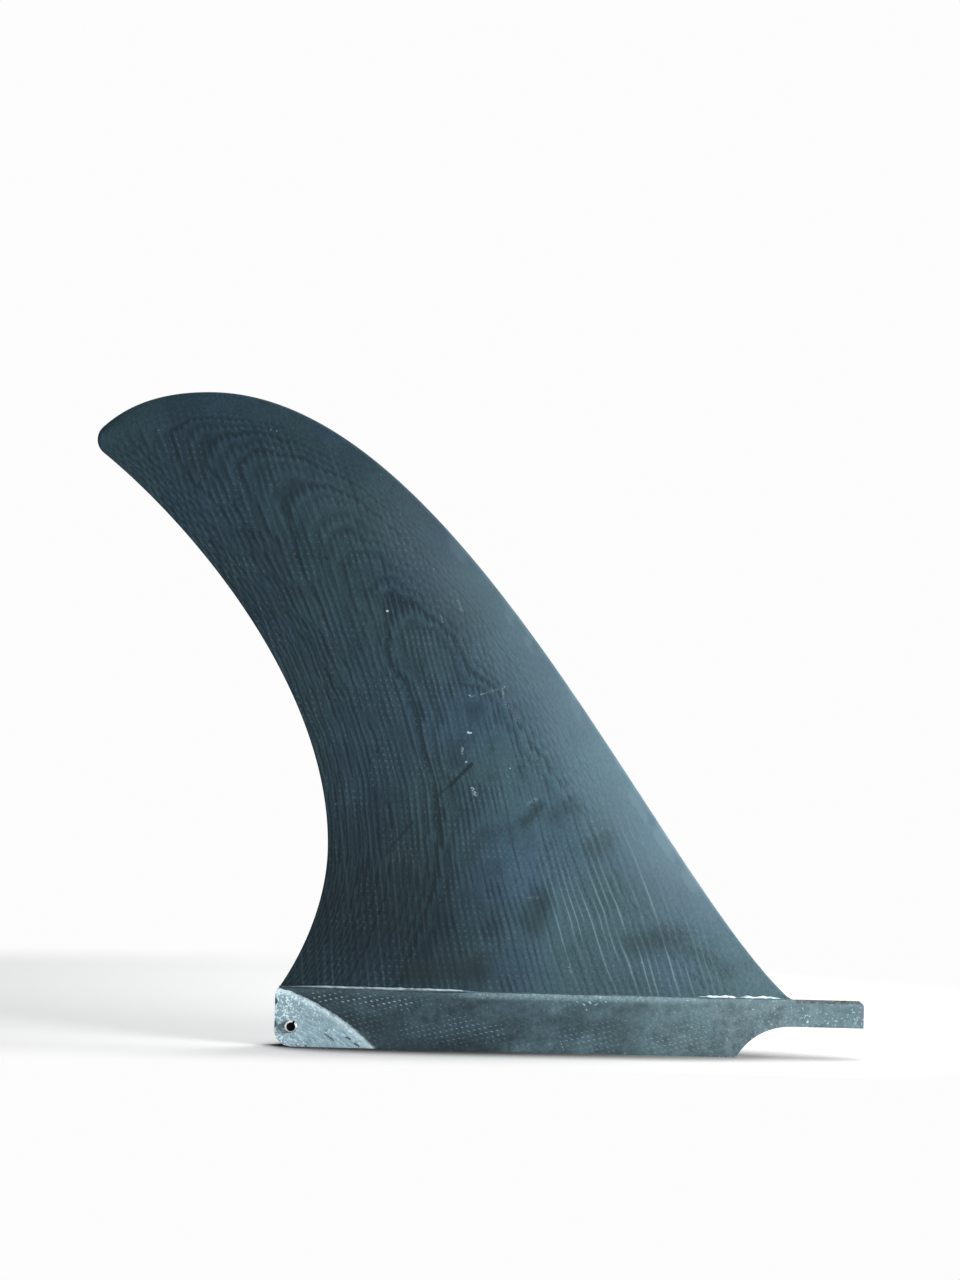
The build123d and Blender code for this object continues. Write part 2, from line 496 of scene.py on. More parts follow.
    def sanded(self, point: Vector) -> Vector:
        """Point moved across the blade by the slow waves that hand sanding leaves.

        Args:
            point: Point of the smooth blade.

        Returns:
            The moved point.
        """
        side = 1 if point.y > 0 else -1
        reach = min(1.0, abs(point.y) / self.sanded_from)
        wave = noise.noise(Vector((point.x, side * self.side_shift, point.z)) / self.wave_length)
        depth = self.sanding_wave * reach * (self.sanding_mean + wave)
        return point - Vector((0, side * depth, 0))


@dataclass
class Tab:
    """Tab under the board line, with its tongue, its ground relief and its two holes."""

    planform: Planform
    thickness: float = 9.3
    foot_length: float = 171.8
    length: float = 227.3
    rear_foot_radius: float = 6.5
    rear_top_radius: float = 3.0
    shoulder_drop: float = 2.2
    shoulder_setback: float = 0.6
    shoulder_bend: float = 1.0
    shoulder_top_radius: float = 0.2
    foot_edge_radius: float = 0.3
    tongue_height: float = 9.8
    tongue_drop: float = 0.5
    tongue_top_radius: float = 1.6
    tongue_side_radius: float = 1.2
    notch_radius: float = 23.8
    notch_steps: int = 24
    screw_hole_radius: float = 2.4
    screw_from_end: float = 8.5
    pin_hole_radius: float = 2.38
    pin_from_rear: float = 6.45
    pin_height: float = 7.8
    corner_segments: int = 10
    edge_segments: int = 5
    touch: float = 0.01
    slack: float = 0.1
    sideways: float = 1.0

    @property
    def foot_front(self) -> float:
        """Front end of the flat foot."""
        return self.planform.tab_rear + self.rear_foot_radius + self.foot_length

    @property
    def tongue_end(self) -> float:
        """Front end of the tongue."""
        return self.planform.tab_rear + self.length

    @property
    def tongue_top(self) -> float:
        """Height of the tongue's top."""
        return self.planform.tab_depth - self.tongue_drop

    @property
    def pin_place(self) -> Vector:
        """Middle of the cross pin."""
        return Vector((self.planform.tab_rear + self.pin_from_rear, 0, self.pin_height))

    def outline(self) -> list[tuple[float, float]]:
        """Corners of the side view, with the points of the notch's arc between them.

        Returns:
            Places along and above the foot, in order round the tab.
        """
        underside = self.tongue_top - self.tongue_height
        run = sqrt(self.notch_radius**2 - (self.notch_radius - underside) ** 2)
        start, full_turn = self.foot_front + run, atan2(run, self.notch_radius - underside)
        notch = []
        for step in range(self.notch_steps + 1):
            turn = full_turn * (1 - step / self.notch_steps)
            notch.append((start - self.notch_radius * sin(turn),
                          underside - self.notch_radius * (1 - cos(turn))))
        back = [
            (self.tongue_end, underside),
            (self.tongue_end, self.tongue_top),
            (self.planform.front_root, self.tongue_top),
            (self.planform.front_root, self.planform.tab_depth),
            (self.planform.tab_rear, self.planform.tab_depth),
            (self.planform.tab_rear, 0.0),
        ]
        return notch + back

    def block(self) -> bpy.types.Object:
        """Tab with rounded corners, before it is ground and drilled.

        Returns:
            The block's object.
        """
        shape = bmesh.new()
        half = self.thickness / 2
        shape.faces.new([shape.verts.new((x, -half, z)) for x, z in self.outline()])
        corners = {
            (self.planform.tab_rear, 0.0): self.rear_foot_radius,
            (self.planform.tab_rear, self.planform.tab_depth): self.rear_top_radius,
            (self.tongue_end, self.tongue_top): self.tongue_top_radius,
        }
        for (x, z), radius in corners.items():
            corner = min(shape.verts, key=lambda vert: hypot(vert.co.x - x, vert.co.z - z))
            round_off(shape, [corner], radius, self.corner_segments, "VERTICES")
        moved = extrude(shape, shape.faces[:])
        bmesh.ops.translate(shape, vec=(0, self.thickness, 0), verts=moved)
        self.slope_shoulders(shape)
        bmesh.ops.recalc_face_normals(shape, faces=shape.faces)
        weight = shape.edges.layers.float.new("bevel_weight_edge")
        for edge in shape.edges:
            edge[weight] = self.rounding(edge) / self.tongue_side_radius
        block = as_object("fin_laminate", shape)
        bevel = block.modifiers.new("round", "BEVEL")
        bevel.limit_method = "WEIGHT"
        bevel.width = self.tongue_side_radius * MM
        bevel.segments = self.edge_segments
        settle(block)
        return block

    def slope_shoulders(self, shape: bmesh.types.BMesh) -> None:
        """Slopes the top of both cheeks in to the blade.

        Args:
            shape: The block's shape.
        """
        start = self.planform.tab_depth - self.shoulder_drop
        bmesh.ops.bisect_plane(shape, geom=shape.verts[:] + shape.edges[:] + shape.faces[:],
                               plane_co=(0, 0, start), plane_no=(0, 0, 1))
        for vert in shape.verts:
            rise = max(0.0, vert.co.z - start) / self.shoulder_drop
            side = 1 if vert.co.y > 0 else -1
            vert.co.y -= side * self.shoulder_setback * rise

    def rounding(self, edge: bmesh.types.BMEdge) -> float:
        """Radius that an edge of the plain block is rounded to, or 0.

        Args:
            edge: Edge of the block.

        Returns:
            The radius.
        """
        first, second = (vert.co for vert in edge.verts)
        if abs(first.y - second.y) > self.sideways:
            return 0.0
        low, high = sorted((first.z, second.z))
        start = self.planform.tab_depth - self.shoulder_drop
        if min(first.x, second.x) > self.tongue_end - self.slack:
            return self.tongue_side_radius
        if abs(low - start) + abs(high - start) < self.touch:
            return self.shoulder_bend
        if low > self.tongue_top - self.slack:
            return self.shoulder_top_radius
        return self.foot_edge_radius

    def build(self, disc: "GrindingDisc") -> bpy.types.Object:
        """Tab with its relief and its holes.

        Args:
            disc: The disc that has ground the rear foot corner.

        Returns:
            The tab's object.
        """
        tab = self.block()
        for side in (-1, 1):
            work_in(tab, as_object("grinding", disc.bite(side)), Joining.CUT)
        drills = (
            round_bar(Vector((0, 1, 0)), self.pin_place, self.pin_hole_radius, 2 * self.thickness),
            round_bar(Vector((0, 0, 1)),
                      Vector((self.tongue_end - self.screw_from_end, 0, self.tongue_top)),
                      self.screw_hole_radius, 4 * self.tongue_height),
        )
        for drill in drills:
            work_in(tab, as_object("drill", drill), Joining.CUT)
        return tab


@dataclass
class RootFillet:
    """Hollow curve in which the leading edge runs out on the tongue."""

    planform: Planform
    tongue_top: float
    reach: float = 3.2
    half_width: float = 1.7
    edge_radius: float = 1.1
    bed: float = 1.5
    steps: int = 12
    edge_segments: int = 4
    touch: float = 0.01

    def shape(self) -> bmesh.types.BMesh:
        """Closed web with the hollow curve as its front.

        Returns:
            The web's shape.
        """
        angle = self.planform.lead_root_angle
        rise = self.planform.tab_depth - self.tongue_top
        corner = self.planform.front_root + rise / tan(radians(180 - angle))
        radius = self.reach * tan(radians(angle / 2))
        middle = Vector((corner + self.reach, 0, self.tongue_top + radius))
        turns = [angle + 90 + (180 - angle) * k / self.steps for k in range(self.steps + 1)]
        hollow = [middle + heading(turn) * radius for turn in turns]
        back = [hollow[-1] - heading(90) * self.bed,
                Vector((corner - 3 * self.reach, 0, self.tongue_top - self.bed)),
                hollow[0] - heading(angle - 90) * self.bed]
        web = bmesh.new()
        shift = Vector((0, -self.half_width, 0))
        side = web.faces.new([web.verts.new(point + shift) for point in hollow + back])
        bmesh.ops.translate(web, vec=-2 * shift, verts=extrude(web, [side]))
        bmesh.ops.recalc_face_normals(web, faces=web.faces)
        rims = [edge for edge in web.edges
                if abs(edge.verts[0].co.y - edge.verts[1].co.y) < self.touch]
        round_off(web, rims, self.edge_radius, self.edge_segments, "EDGES")
        return web


@dataclass
class GrindingDisc:
    """Disc that has bitten into both faces of the tab and left a rough floor and a torn rim."""

    tab_rear: float
    tab_thickness: float
    radius: float = 100.0
    depth: float = 0.6
    foot_reach: float = 40.0
    rear_reach: float = 23.5
    band: float = 32.0
    spacing: float = 0.42
    first_angle: float = 41.0
    last_angle: float = 80.0
    tear: float = 0.32
    tear_reach: float = 4.0
    tear_rates: tuple[float, float] = (0.9, 0.3)
    roughness: float = 0.075
    score_rates: tuple[float, float] = (0.22, 1.9)
    grain_rate: float = 1.3
    grain_share: float = 0.8
    rim_rise: float = 0.30
    rim_width: float = 1.1
    clear: float = 1.5

    @property
    def centre(self) -> Vector:
        """Centre of the disc, below and behind the tab.

        Returns:
            The centre, in the fin's middle plane.
        """
        chord = hypot(self.foot_reach, self.rear_reach)
        sink = sqrt(self.radius**2 - chord**2 / 4)
        return Vector((
            self.tab_rear + self.foot_reach / 2 - sink * self.rear_reach / chord,
            0,
            self.rear_reach / 2 - sink * self.foot_reach / chord,
        ))

    def bite(self, side: int) -> bmesh.types.BMesh:
        """Slab of air that the disc has cut, with the rough floor as its inner face.

        Args:
            side: -1 for the near face and 1 for the far one.

        Returns:
            The closed slab.
        """
        arc = radians(self.last_angle - self.first_angle) * self.radius
        columns, rows = round(arc / self.spacing), round(self.band / self.spacing)

        def point(turned: float, outward: float) -> Vector:
            """Point of the floor at its shares of the turn and of the way out to the rim."""
            turn = self.first_angle + (self.last_angle - self.first_angle) * turned
            return self.floor_point(radians(turn), self.band * (1 - outward), side)

        slab = grid_shape(columns, rows, point)
        for vert in extrude(slab, slab.faces[:]):
            vert.co.y = side * (self.tab_thickness / 2 + self.clear)
        bmesh.ops.recalc_face_normals(slab, faces=slab.faces)
        return slab

    def floor_point(self, turn: float, inward: float, side: int) -> Vector:
        """Point of the rough floor.

        Args:
            turn: Angle round the disc's centre.
            inward: Distance in from the rim.
            side: -1 for the near face and 1 for the far one.

        Returns:
            The point, with the rim torn and the floor scored by the disc's grit.
        """
        along = turn * self.radius
        fine, slow = (along * rate for rate in self.tear_rates)
        torn = noise.noise(Vector((fine, side * 7, 0))) + noise.noise(Vector((slow, 3, 0)))
        fade = 1 - smoothstep(0, self.tear_reach, inward)
        reach = self.radius - inward + self.tear * torn * fade
        place = self.centre + heading(turn * 180 / pi) * reach
        lengthwise, crosswise = self.score_rates
        scores = noise.noise(Vector((along * lengthwise, inward * crosswise, side * 5)))
        grain = noise.noise(Vector((place.x * self.grain_rate, side * 9, place.z * self.grain_rate)))
        height = self.tab_thickness / 2 - self.depth
        height += self.roughness * (scores + self.grain_share * grain)
        height += self.rim_rise * (1 - smoothstep(0, self.rim_width, inward))
        return Vector((place.x, side * height, place.z))


@dataclass
class ResinLine:
    """Bead of resin squeezed out along the joint of blade and tab."""

    blade: Blade
    tab: Tab
    ring_steps: int = 10
    spacing: float = 0.7
    lift: float = 0.5
    bed: float = 0.2
    tallness: float = 1.15
    body: float = 0.20
    rear_swell: float = 0.46
    rear_span: Ramp = (-92, -70, -28, -12)
    front_swell: float = 0.52
    front_span: Ramp = (68, 76, 98, 104)
    gap_middle: float = 86.0
    gap_reach: tuple[float, float] = (0.5, 2.5)
    gap_depth: float = 0.7
    ragged_rate: float = 0.35
    ragged_share: float = 0.26
    fine_rate: float = 1.7
    fine_share: float = 0.16
    blob_mean: float = 0.8
    blob_range: float = 0.5
    step_down: tuple[float, float] = (105.5, 106.5)

    def girth(self, point: Vector) -> float:
        """Radius of the bead beside a point of the blade's root.

        Args:
            point: Point of the blade's root.

        Returns:
            The radius.
        """
        side = 1 if point.y > 0 else -1
        ragged = noise.noise(Vector((point.x * self.ragged_rate, side * 11, 2)))
        fine = noise.noise(Vector((point.x * self.fine_rate, side * 5, 8)))
        rear = self.rear_swell * between(self.rear_span, point.x)
        blobs = self.front_swell * between(self.front_span, point.x)
        away = smoothstep(*self.gap_reach, abs(point.x - self.gap_middle))
        gap = 1 - self.gap_depth * (1 - away)
        body = self.body + rear + blobs * gap * (self.blob_mean + self.blob_range * ragged)
        return body * (1 + self.ragged_share * ragged + self.fine_share * fine)

    def shape(self) -> bmesh.types.BMesh:
        """Closed ring of the bead round the blade's root.

        Returns:
            The bead's shape.
        """
        root = self.blade.sections()[1]
        columns = 2 * len(root.half_profile) - 1
        path = self.even_path([root.point(column) for column in range(columns)])
        count = len(path)

        def skin(along: float, turned: float) -> Vector:
            """Point of the bead at its shares along the root and round the bead.

            Args:
                along: Share of the way along the root.
                turned: Share of the way round the bead.

            Returns:
                The point.
            """
            column, turn = round(along * count) % count, 2 * pi * turned
            point, ahead = path[column], path[(column + 1) % count]
            outward = (ahead - path[column - 1]).cross(Vector((0, 0, 1))).normalized()
            radius = self.girth(point)
            drop = self.tab.tongue_drop * smoothstep(*self.step_down, point.x)
            lift = Vector((0, 0, radius * self.lift - drop))
            rise = Vector((0, 0, sin(turn) * radius * self.tallness))
            return point + outward * radius * (self.bed + cos(turn)) + lift + rise

        return close(grid_shape(count, self.ring_steps, skin))

    def even_path(self, corners: list[Vector]) -> list[Vector]:
        """Points at even distances along a closed line.

        Args:
            corners: Points of the line.

        Returns:
            The even points.
        """
        line = EdgeLine(corners + corners[:1])
        count = round(line.reach[-1] / self.spacing)
        return [line.at(step / count) for step in range(count)]


class Graph:
    """Node tree of a material or of the surroundings, with short ways to add and join nodes."""

    def __init__(self, owner: bpy.types.ID) -> None:
        """Takes a new material or world and empties its tree.

        Args:
            owner: The material or world.
        """
        owner.use_nodes = True
        self.owner = owner
        self.tree = owner.node_tree
        self.tree.nodes.clear()

    def add(self, kind: str, inputs: dict | None = None, **settings: object) -> bpy.types.Node:
        """Adds a node.

        Args:
            kind: Type of the node, without its ShaderNode prefix.
            inputs: Values, signals or sockets by the input's name or number.
            settings: Values of the node's own properties.

        Returns:
            The node.
        """
        node = self.tree.nodes.new("ShaderNode" + kind)
        for key, value in settings.items():
            setattr(node, key, value)
        for key, value in (inputs or {}).items():
            self.feed(node.inputs[key], value)
        return node

    def feed(self, socket: bpy.types.NodeSocket, value: object) -> None:
        """Links a socket to an input, or sets the input's value.

        Args:
            socket: Socket of a node.
            value: Signal, socket or plain value.
        """
        value = getattr(value, "socket", value)
        if isinstance(value, bpy.types.NodeSocket):
            self.tree.links.new(value, socket)
        elif socket.type == "RGBA":
            socket.default_value = (*value, 1.0)
        else:
            socket.default_value = value

    def math(self, operation: str, first: object, second: object = 0.0,
             clamp: bool = False) -> "Signal":
        """Result of one sum on numbers."""
        node = self.add("Math", {0: first, 1: second}, operation=operation, use_clamp=clamp)
        return Signal(self, node.outputs[0])

    def scaled(self, vector: object, factor: object) -> "Place":
        """Vector or colour times a number."""
        node = self.add("VectorMath", {0: vector, "Scale": factor}, operation="SCALE")
        return Place(self, node.outputs["Vector"])

    def place(self) -> "Place":
        """Object coordinates in millimetres."""
        return self.scaled(self.add("TexCoord").outputs["Object"], 1 / MM)

    def seen(self) -> "Signal":
        """1 where the camera looks, straight, in a gloss or through glass.

        Returns:
            The signal.
        """
        rays = self.add("LightPath").outputs
        straight = self.math("MAXIMUM", rays["Is Camera Ray"], rays["Is Glossy Ray"])
        return self.math("MAXIMUM", straight, rays["Is Transmission Ray"])

    def surface(self, inputs: dict, relief: object) -> bpy.types.Material:
        """Finished material with a relief in millimetres."""
        bump = self.add("Bump", {"Strength": 1.0, "Distance": MM, "Height": relief})
        return self.finish(self.add("BsdfPrincipled", {**inputs, "Normal": bump.outputs[0]}))

    def finish(self, surface: bpy.types.Node, output: str = "OutputMaterial") -> bpy.types.ID:
        """Joins the last shader to the output and returns the material or world."""
        self.tree.links.new(surface.outputs[0], self.add(output).inputs["Surface"])
        return self.owner


@dataclass(frozen=True)
class Cloud:
    """Cloudy noise and the soft step that turns it into a share or a shade.

    The rate counts its waves in a millimetre, and the stretch is a factor on each axis.
    """

    rate: float
    detail: float
    roughness: float
    ramp: Ramp
    stretch: Triple = (1, 1, 1)


@dataclass(frozen=True)
class Signal:
    """Number that varies over a surface, with the sums that the finishes make of it."""

    graph: Graph
    socket: bpy.types.NodeSocket

    def __add__(self, other: object) -> "Signal":
        """Sum of two numbers."""
        return self.graph.math("ADD", self, other)

    def __sub__(self, other: object) -> "Signal":
        """Difference of two numbers."""
        return self.graph.math("SUBTRACT", self, other)

    def __rsub__(self, other: object) -> "Signal":
        """Difference of a plain number and this one."""
        return self.graph.math("SUBTRACT", other, self)

    def __mul__(self, other: object) -> "Signal":
        """Product of two numbers."""
        return self.graph.math("MULTIPLY", self, other)

    def __truediv__(self, other: object) -> "Signal":
        """Quotient of two numbers."""
        return self.graph.math("DIVIDE", self, other)

    def most(self, other: object) -> "Signal":
        """Larger of two numbers."""
        return self.graph.math("MAXIMUM", self, other)

    def step(self, low: float, high: float, start: float = 0.0, end: float = 1.0) -> "Signal":
        """Soft step from start at low to end at high.

        Args:
            low: Value at which the step starts.
            high: Value at which it ends.
            start: Result at low.
            end: Result at high.

        Returns:
            The result.
        """
        inputs = {"Value": self, "From Min": low, "From Max": high, "To Min": start, "To Max": end}
        node = self.graph.add("MapRange", inputs, interpolation_type="SMOOTHSTEP")
        return Signal(self.graph, node.outputs["Result"])


class Place(Signal):
    """Point or direction on a surface, in millimetres."""

    def sum(self, operation: str, other: object) -> "Place":
        """Result of one sum on vectors."""
        node = self.graph.add("VectorMath", {0: self, 1: other}, operation=operation)
        return Place(self.graph, node.outputs["Vector"])

    def gauge(self, operation: str, other: object = (0.0, 0.0, 0.0)) -> Signal:
        """Number that one sum on vectors gives."""
        node = self.graph.add("VectorMath", {0: self, 1: other}, operation=operation)
        return Signal(self.graph, node.outputs["Value"])

    def stretched(self, *factors: float) -> "Place":
        """Vector with each axis times its own factor."""
        return self.sum("MULTIPLY", factors)

    def axis(self, name: str) -> Signal:
        """One of the three axes."""
        return Signal(self.graph, self.graph.add("SeparateXYZ", {0: self}).outputs[name])

    def noise(self, scale: float, detail: float = 2.0, roughness: float = 0.5) -> Signal:
        """Cloudy noise between 0 and 1."""
        inputs = {"Vector": self, "Scale": scale, "Detail": detail, "Roughness": roughness}
        return Signal(self.graph, self.graph.add("TexNoise", inputs).outputs[0])

    def cloud(self, cloud: Cloud) -> Signal:
        """Share or shade that a cloud gives."""
        raw = self.stretched(*cloud.stretch).noise(cloud.rate, cloud.detail, cloud.roughness)
        return raw.step(*cloud.ramp)

    def wander(self, length: float, reach: float) -> Signal:
        """Slow wander to both sides of 0, in millimetres."""
        return (self.noise(1 / length, 2) - 0.5) * (2 * reach)


@dataclass
class Paint:
    """Colour of a surface, built up coat by coat."""

    graph: Graph
    colour: Colour | Signal

    def shade(self, factor: object) -> None:
        """Makes the colour lighter or darker."""
        self.colour = self.graph.scaled(self.colour, factor)

    def coat(self, share: object, tone: Colour) -> None:
        """Covers a share of the surface with a tone.

        Args:
            share: Share that is covered.
            tone: Colour of the coat.
        """
        node = self.graph.add("Mix", data_type="RGBA")
        for number, value in ((0, share), (6, self.colour), (7, tone)):
            self.graph.feed(node.inputs[number], value)
        self.colour = Signal(self.graph, node.outputs[2])


@dataclass(frozen=True)
class Mark:
    """One mark of wear on the near face, from one place to another in the middle plane."""

    start_x: float
    start_z: float
    end_x: float
    end_z: float
    width: float
    strength: float = 1.0


MARK_ROWS = {
    MarkKind.PALE: (
        (-52.7, 169.0, -52.7, 169.0, 0.9), (-99.6, 237.8, -99.6, 237.8, 0.5, 0.5),
        (-97.2, 237.3, -97.2, 237.5, 0.6, 0.5), (-143.0, 236.5, -141.3, 237.0, 0.4, 0.4),
        (-20.5, 122.8, -19.4, 122.8, 0.7, 0.8), (-22.5, 117.0, -22.6, 114.8, 0.8, 0.45),
        (-21.0, 111.4, -21.0, 111.4, 0.7, 0.55), (-18.2, 101.2, -16.9, 98.8, 1.4, 0.5),
        (-3.9, 109.3, -3.9, 109.3, 0.6, 0.45), (-20.6, 137.2, -20.0, 137.0, 0.6, 0.4),
        (-25.6, 173.4, -24.0, 169.8, 1.2, 0.18), (-31.8, 167.6, -31.4, 165.0, 1.0, 0.18),
        (-7.1, 141.4, -7.3, 136.4, 1.0, 0.26), (-7.3, 136.4, -1.6, 128.2, 1.4, 0.13),
        (-19.4, 136.6, -9.6, 139.6, 0.8, 0.20), (3.4, 96.0, 6.4, 97.6, 1.6, 0.15),
        (4.4, 59.4, 8.6, 60.0, 1.2, 0.13), (5.7, 2.0, 5.7, 3.6, 0.4, 0.25),
        (18.3, 3.8, 19.3, 1.6, 0.45, 0.5), (20.6, 34.2, 21.6, 30.2, 1.2, 0.22),
        (24.0, 20.0, 24.3, 19.8, 0.5, 0.4), (26.6, 19.2, 27.0, 18.7, 0.55, 0.5),
        (28.8, 19.9, 29.4, 19.5, 0.6, 0.5), (31.0, 19.0, 32.0, 19.5, 0.45, 0.35),
        (35.0, 20.4, 35.6, 20.1, 0.6, 0.5), (27.8, 17.0, 28.0, 16.8, 0.6, 0.4),
        (131.4, 14.0, 132.6, 16.6, 1.2, 0.30), (113.2, 14.6, 113.4, 14.4, 0.7, 0.7),
        (-67.9, 1.9, -67.2, 1.2, 1.0, 0.9), (-62.4, 3.0, -61.6, 2.4, 0.9, 0.9),
        (-59.2, 1.3, -58.0, 0.9, 0.9, 0.9),
    ),
    MarkKind.DARK: (
        (-32.6, 97.4, -26.4, 102.6, 1.0, 0.6), (-26.4, 102.6, -18.8, 110.7, 1.5, 0.9),
        (-51.4, 74.5, -46.4, 81.0, 1.1, 0.5), (-46.4, 81.0, -41.3, 87.5, 1.6, 0.7),
        (-77.3, 188.9, -76.3, 188.6, 1.2, 0.8), (-92.3, 17.8, -92.1, 16.9, 1.6, 0.9),
        (-92.4, 9.4, -92.2, 7.8, 1.3, 0.9), (-72.8, 5.3, -69.4, 2.8, 0.7, 0.7),
        (-64.6, 4.0, -62.8, 3.2, 0.8, 0.8), (-61.4, 2.0, -59.6, 0.6, 0.8, 0.8),
        (-80.2, 0.6, -79.6, 0.0, 0.8, 0.6),
    ),
    MarkKind.STAIN: (
        (2.6, 88.8, 7.6, 94.4, 6.4), (14.0, 92.6, 21.0, 95.6, 8.0, 0.5),
        (6.8, 49.0, 9.0, 57.0, 12.0), (45.0, 43.0, 63.0, 46.0, 12.0, 0.7),
        (66.0, 41.6, 82.0, 33.0, 8.0, 0.5), (-40.0, 29.6, -14.0, 31.4, 12.0),
        (29.0, 79.0, 34.0, 82.0, 11.0, 0.5),
    ),
    MarkKind.KNUCKLES: (
        (-76.8, 19.4, -40.4, 17.6, 4.6), (-42.0, 7.4, -22.0, 5.6, 8.0, 0.35),
        (-24.0, 10.4, -6.0, 7.0, 8.0, 0.48), (20.0, 6.0, 33.0, 5.4, 8.0, 0.38),
        (54.0, 4.6, 72.0, 5.4, 9.0, 0.46), (26.0, 52.0, 58.0, 36.0, 40.0),
        (38.0, 76.0, 50.0, 62.0, 24.0, 0.7),
    ),
}
MARKS = {kind: tuple(Mark(*row) for row in rows) for kind, rows in MARK_ROWS.items()}


class Where:
    """What tells where on the laminate a point lies, in millimetres."""

    def __init__(self, name: str) -> None:
        """Starts a new material of that name.

        Args:
            name: Name of the material.
        """
        self.graph = Graph(bpy.data.materials.new(name))
        self.place = self.graph.place()
        axes = self.graph.add("SeparateXYZ", {0: self.place}).outputs
        self.x, across, self.z = (Signal(self.graph, axes[name]) for name in "XYZ")
        self.depth = self.graph.math("ABSOLUTE", across)
        self.near = across.step(-0.2, 0.2, 1, 0)
        lead = self.graph.add("Attribute", attribute_name=FROM_LEAD)
        self.from_lead = Signal(self.graph, lead.outputs["Fac"])


@dataclass(frozen=True)
class LaminateFinish:
    """Tinted glass cloth and resin, sanded to a satin gloss.

    Lengths are in millimetres. A ramp is a soft step: from, to, and its value at each. A grain
    is the rate, detail and roughness of a noise. A wander is the length of its waves and how
    far they reach.
    """

    board_line: float
    blue: Colour = (0.0190, 0.0385, 0.0560)
    green: Colour = (0.0200, 0.0405, 0.0500)
    ply_line: Colour = (0.009, 0.017, 0.023)
    knuckle: Colour = (0.17, 0.25, 0.28)
    stain: Colour = (0.012, 0.021, 0.021)
    scratch: Colour = (0.008, 0.016, 0.020)
    dusty: Colour = (0.026, 0.045, 0.051)
    chip: Colour = (0.40, 0.52, 0.57)
    tinting: Cloud = Cloud(1 / 48, 3, 0.5, (0.38, 0.62, 0, 1))
    shading: Cloud = Cloud(1 / 20, 4, 0.6, (0.25, 0.75, 0.84, 1.18))
    front_wander: Wander = (30, 14)
    # Painted light: ramps that lighten the resin towards the front, the leading edge and the tip.
    painted_front_light: Ramp = (-34, 22, 0.96, 1.48)
    painted_edge_light: Ramp = (8, 130, 1.14, 0.84)
    painted_tip_light: Ramp = (-150, -100, 1.10, 1.0)
    dusty_front: Ramp = (-4, 36, 0, 1)
    dusty_foot: Ramp = (60, 112, 0.55, 0)
    ply: float = 0.15
    ply_edge: Ramp = (0.0, 0.46, 1, 0)
    ply_strength: Ramp = (0, 1, 0.35, 1)
    ply_warps: tuple[Wander, ...] = ((36, 0.20), (9, 0.07))
    soft_mark: tuple[float, float] = (0.05, 4.5)
    hard_mark: tuple[float, float] = (0.22, 1.1)
    ragged_rate: float = 0.8
    mark_breaks: Cloud = Cloud(1.9, 2, 0.7, (0.46, 0.58, 0, 1))
    mark_rim: float = 0.7
    long_mark: float = 1.5
    speck_cell: float = 7.0
    speck_size: Ramp = (0.16, 0.42, 1, 0)
    speck_chance: Ramp = (0.55, 1.0, 0, 0.5)
    grain: Grain = (2.2, 3, 0.6)
    grit_height: float = 0.006
    gloss: float = 0.42
    shine: float = 0.12
    bend_of_light: float = 1.52

    def ground(self, where: Where) -> Paint:
        """Cloudy tint of the resin, lightened with painted light towards the front, the leading edge
        and the tip.

        Args:
            where: Place on the laminate.

        Returns:
            The ground coat.
        """
        paint = Paint(where.graph, self.blue)
        paint.coat(where.place.cloud(self.tinting), self.green)
        paint.shade(where.place.cloud(self.shading))
        # Painted light: the resin lighter towards the front, the leading edge and the tip, as a light
        # from the right would make it.
        paint.shade((where.x + where.place.wander(*self.front_wander)).step(*self.painted_front_light))
        paint.shade(where.from_lead.step(*self.painted_edge_light))
        paint.shade(where.x.step(*self.painted_tip_light))
        paint.coat(where.x.step(*self.dusty_front) * where.z.step(*self.dusty_foot), self.dusty)
        return paint

    def plies(self, where: Where, ripple: Signal) -> Signal:
        """Strength of the resin-rich line where a ply runs out.

        Args:
            where: Place on the laminate.
            ripple: Height of the cloth's own ripple, in millimetres.

        Returns:
            Strength of the line.
        """
        graph = where.graph
        depth = where.depth
        for length, reach in self.ply_warps:
            depth = depth + where.place.wander(length, reach)
        count = (depth + ripple) / self.ply
        chance = graph.add("TexWhiteNoise", {"W": graph.math("ROUND", count)},
                           noise_dimensions="1D").outputs["Value"]
        edge = graph.math("PINGPONG", count, 0.5).step(*self.ply_edge)
        return edge * Signal(graph, chance).step(*self.ply_strength)

    def marks(self, where: Where, kind: MarkKind, low: float, high: float) -> Signal:
        """Strength of the near face's marks of one kind.

        Args:
            where: Place on the laminate.
            kind: Kind of the marks.
            low: Lowest height at which a mark may start.
            high: Height below which it starts.

        Returns:
            Strength of the marks.
        """
        soft = kind in (MarkKind.STAIN, MarkKind.KNUCKLES)
        core, reach = self.soft_mark if soft else self.hard_mark
        cloud = where.graph.add("TexNoise", {
            "Vector": where.place, "Scale": self.ragged_rate, "Detail": 2.0})
        rough = Place(where.graph, cloud.outputs["Color"]).sum("SUBTRACT", (0.5,) * 3)
        flat = where.place.sum("ADD", where.graph.scaled(rough, reach)).stretched(1, 0, 1)
        broken = where.place.cloud(self.mark_breaks)
        total = None
        for mark in (mark for mark in MARKS[kind] if low <= mark.start_z < high):
            start = Vector((mark.start_x, 0, mark.start_z))
            run, away = Vector((mark.end_x, 0, mark.end_z)) - start, flat.sum("SUBTRACT", start)
            if run.length > 0:
                share = away.gauge("DOT_PRODUCT", run / run.length_squared)
                share = where.graph.math("ADD", share, 0, clamp=True)
                away = away.sum("SUBTRACT", where.graph.scaled(run, share))
            size = (mark.width * core, mark.width * self.mark_rim)
            spot = away.gauge("LENGTH").step(*size, mark.strength, 0)
            if kind is MarkKind.PALE and run.length > self.long_mark:
                spot = spot * broken
            total = total.most(spot) if total else spot
        return total * where.near

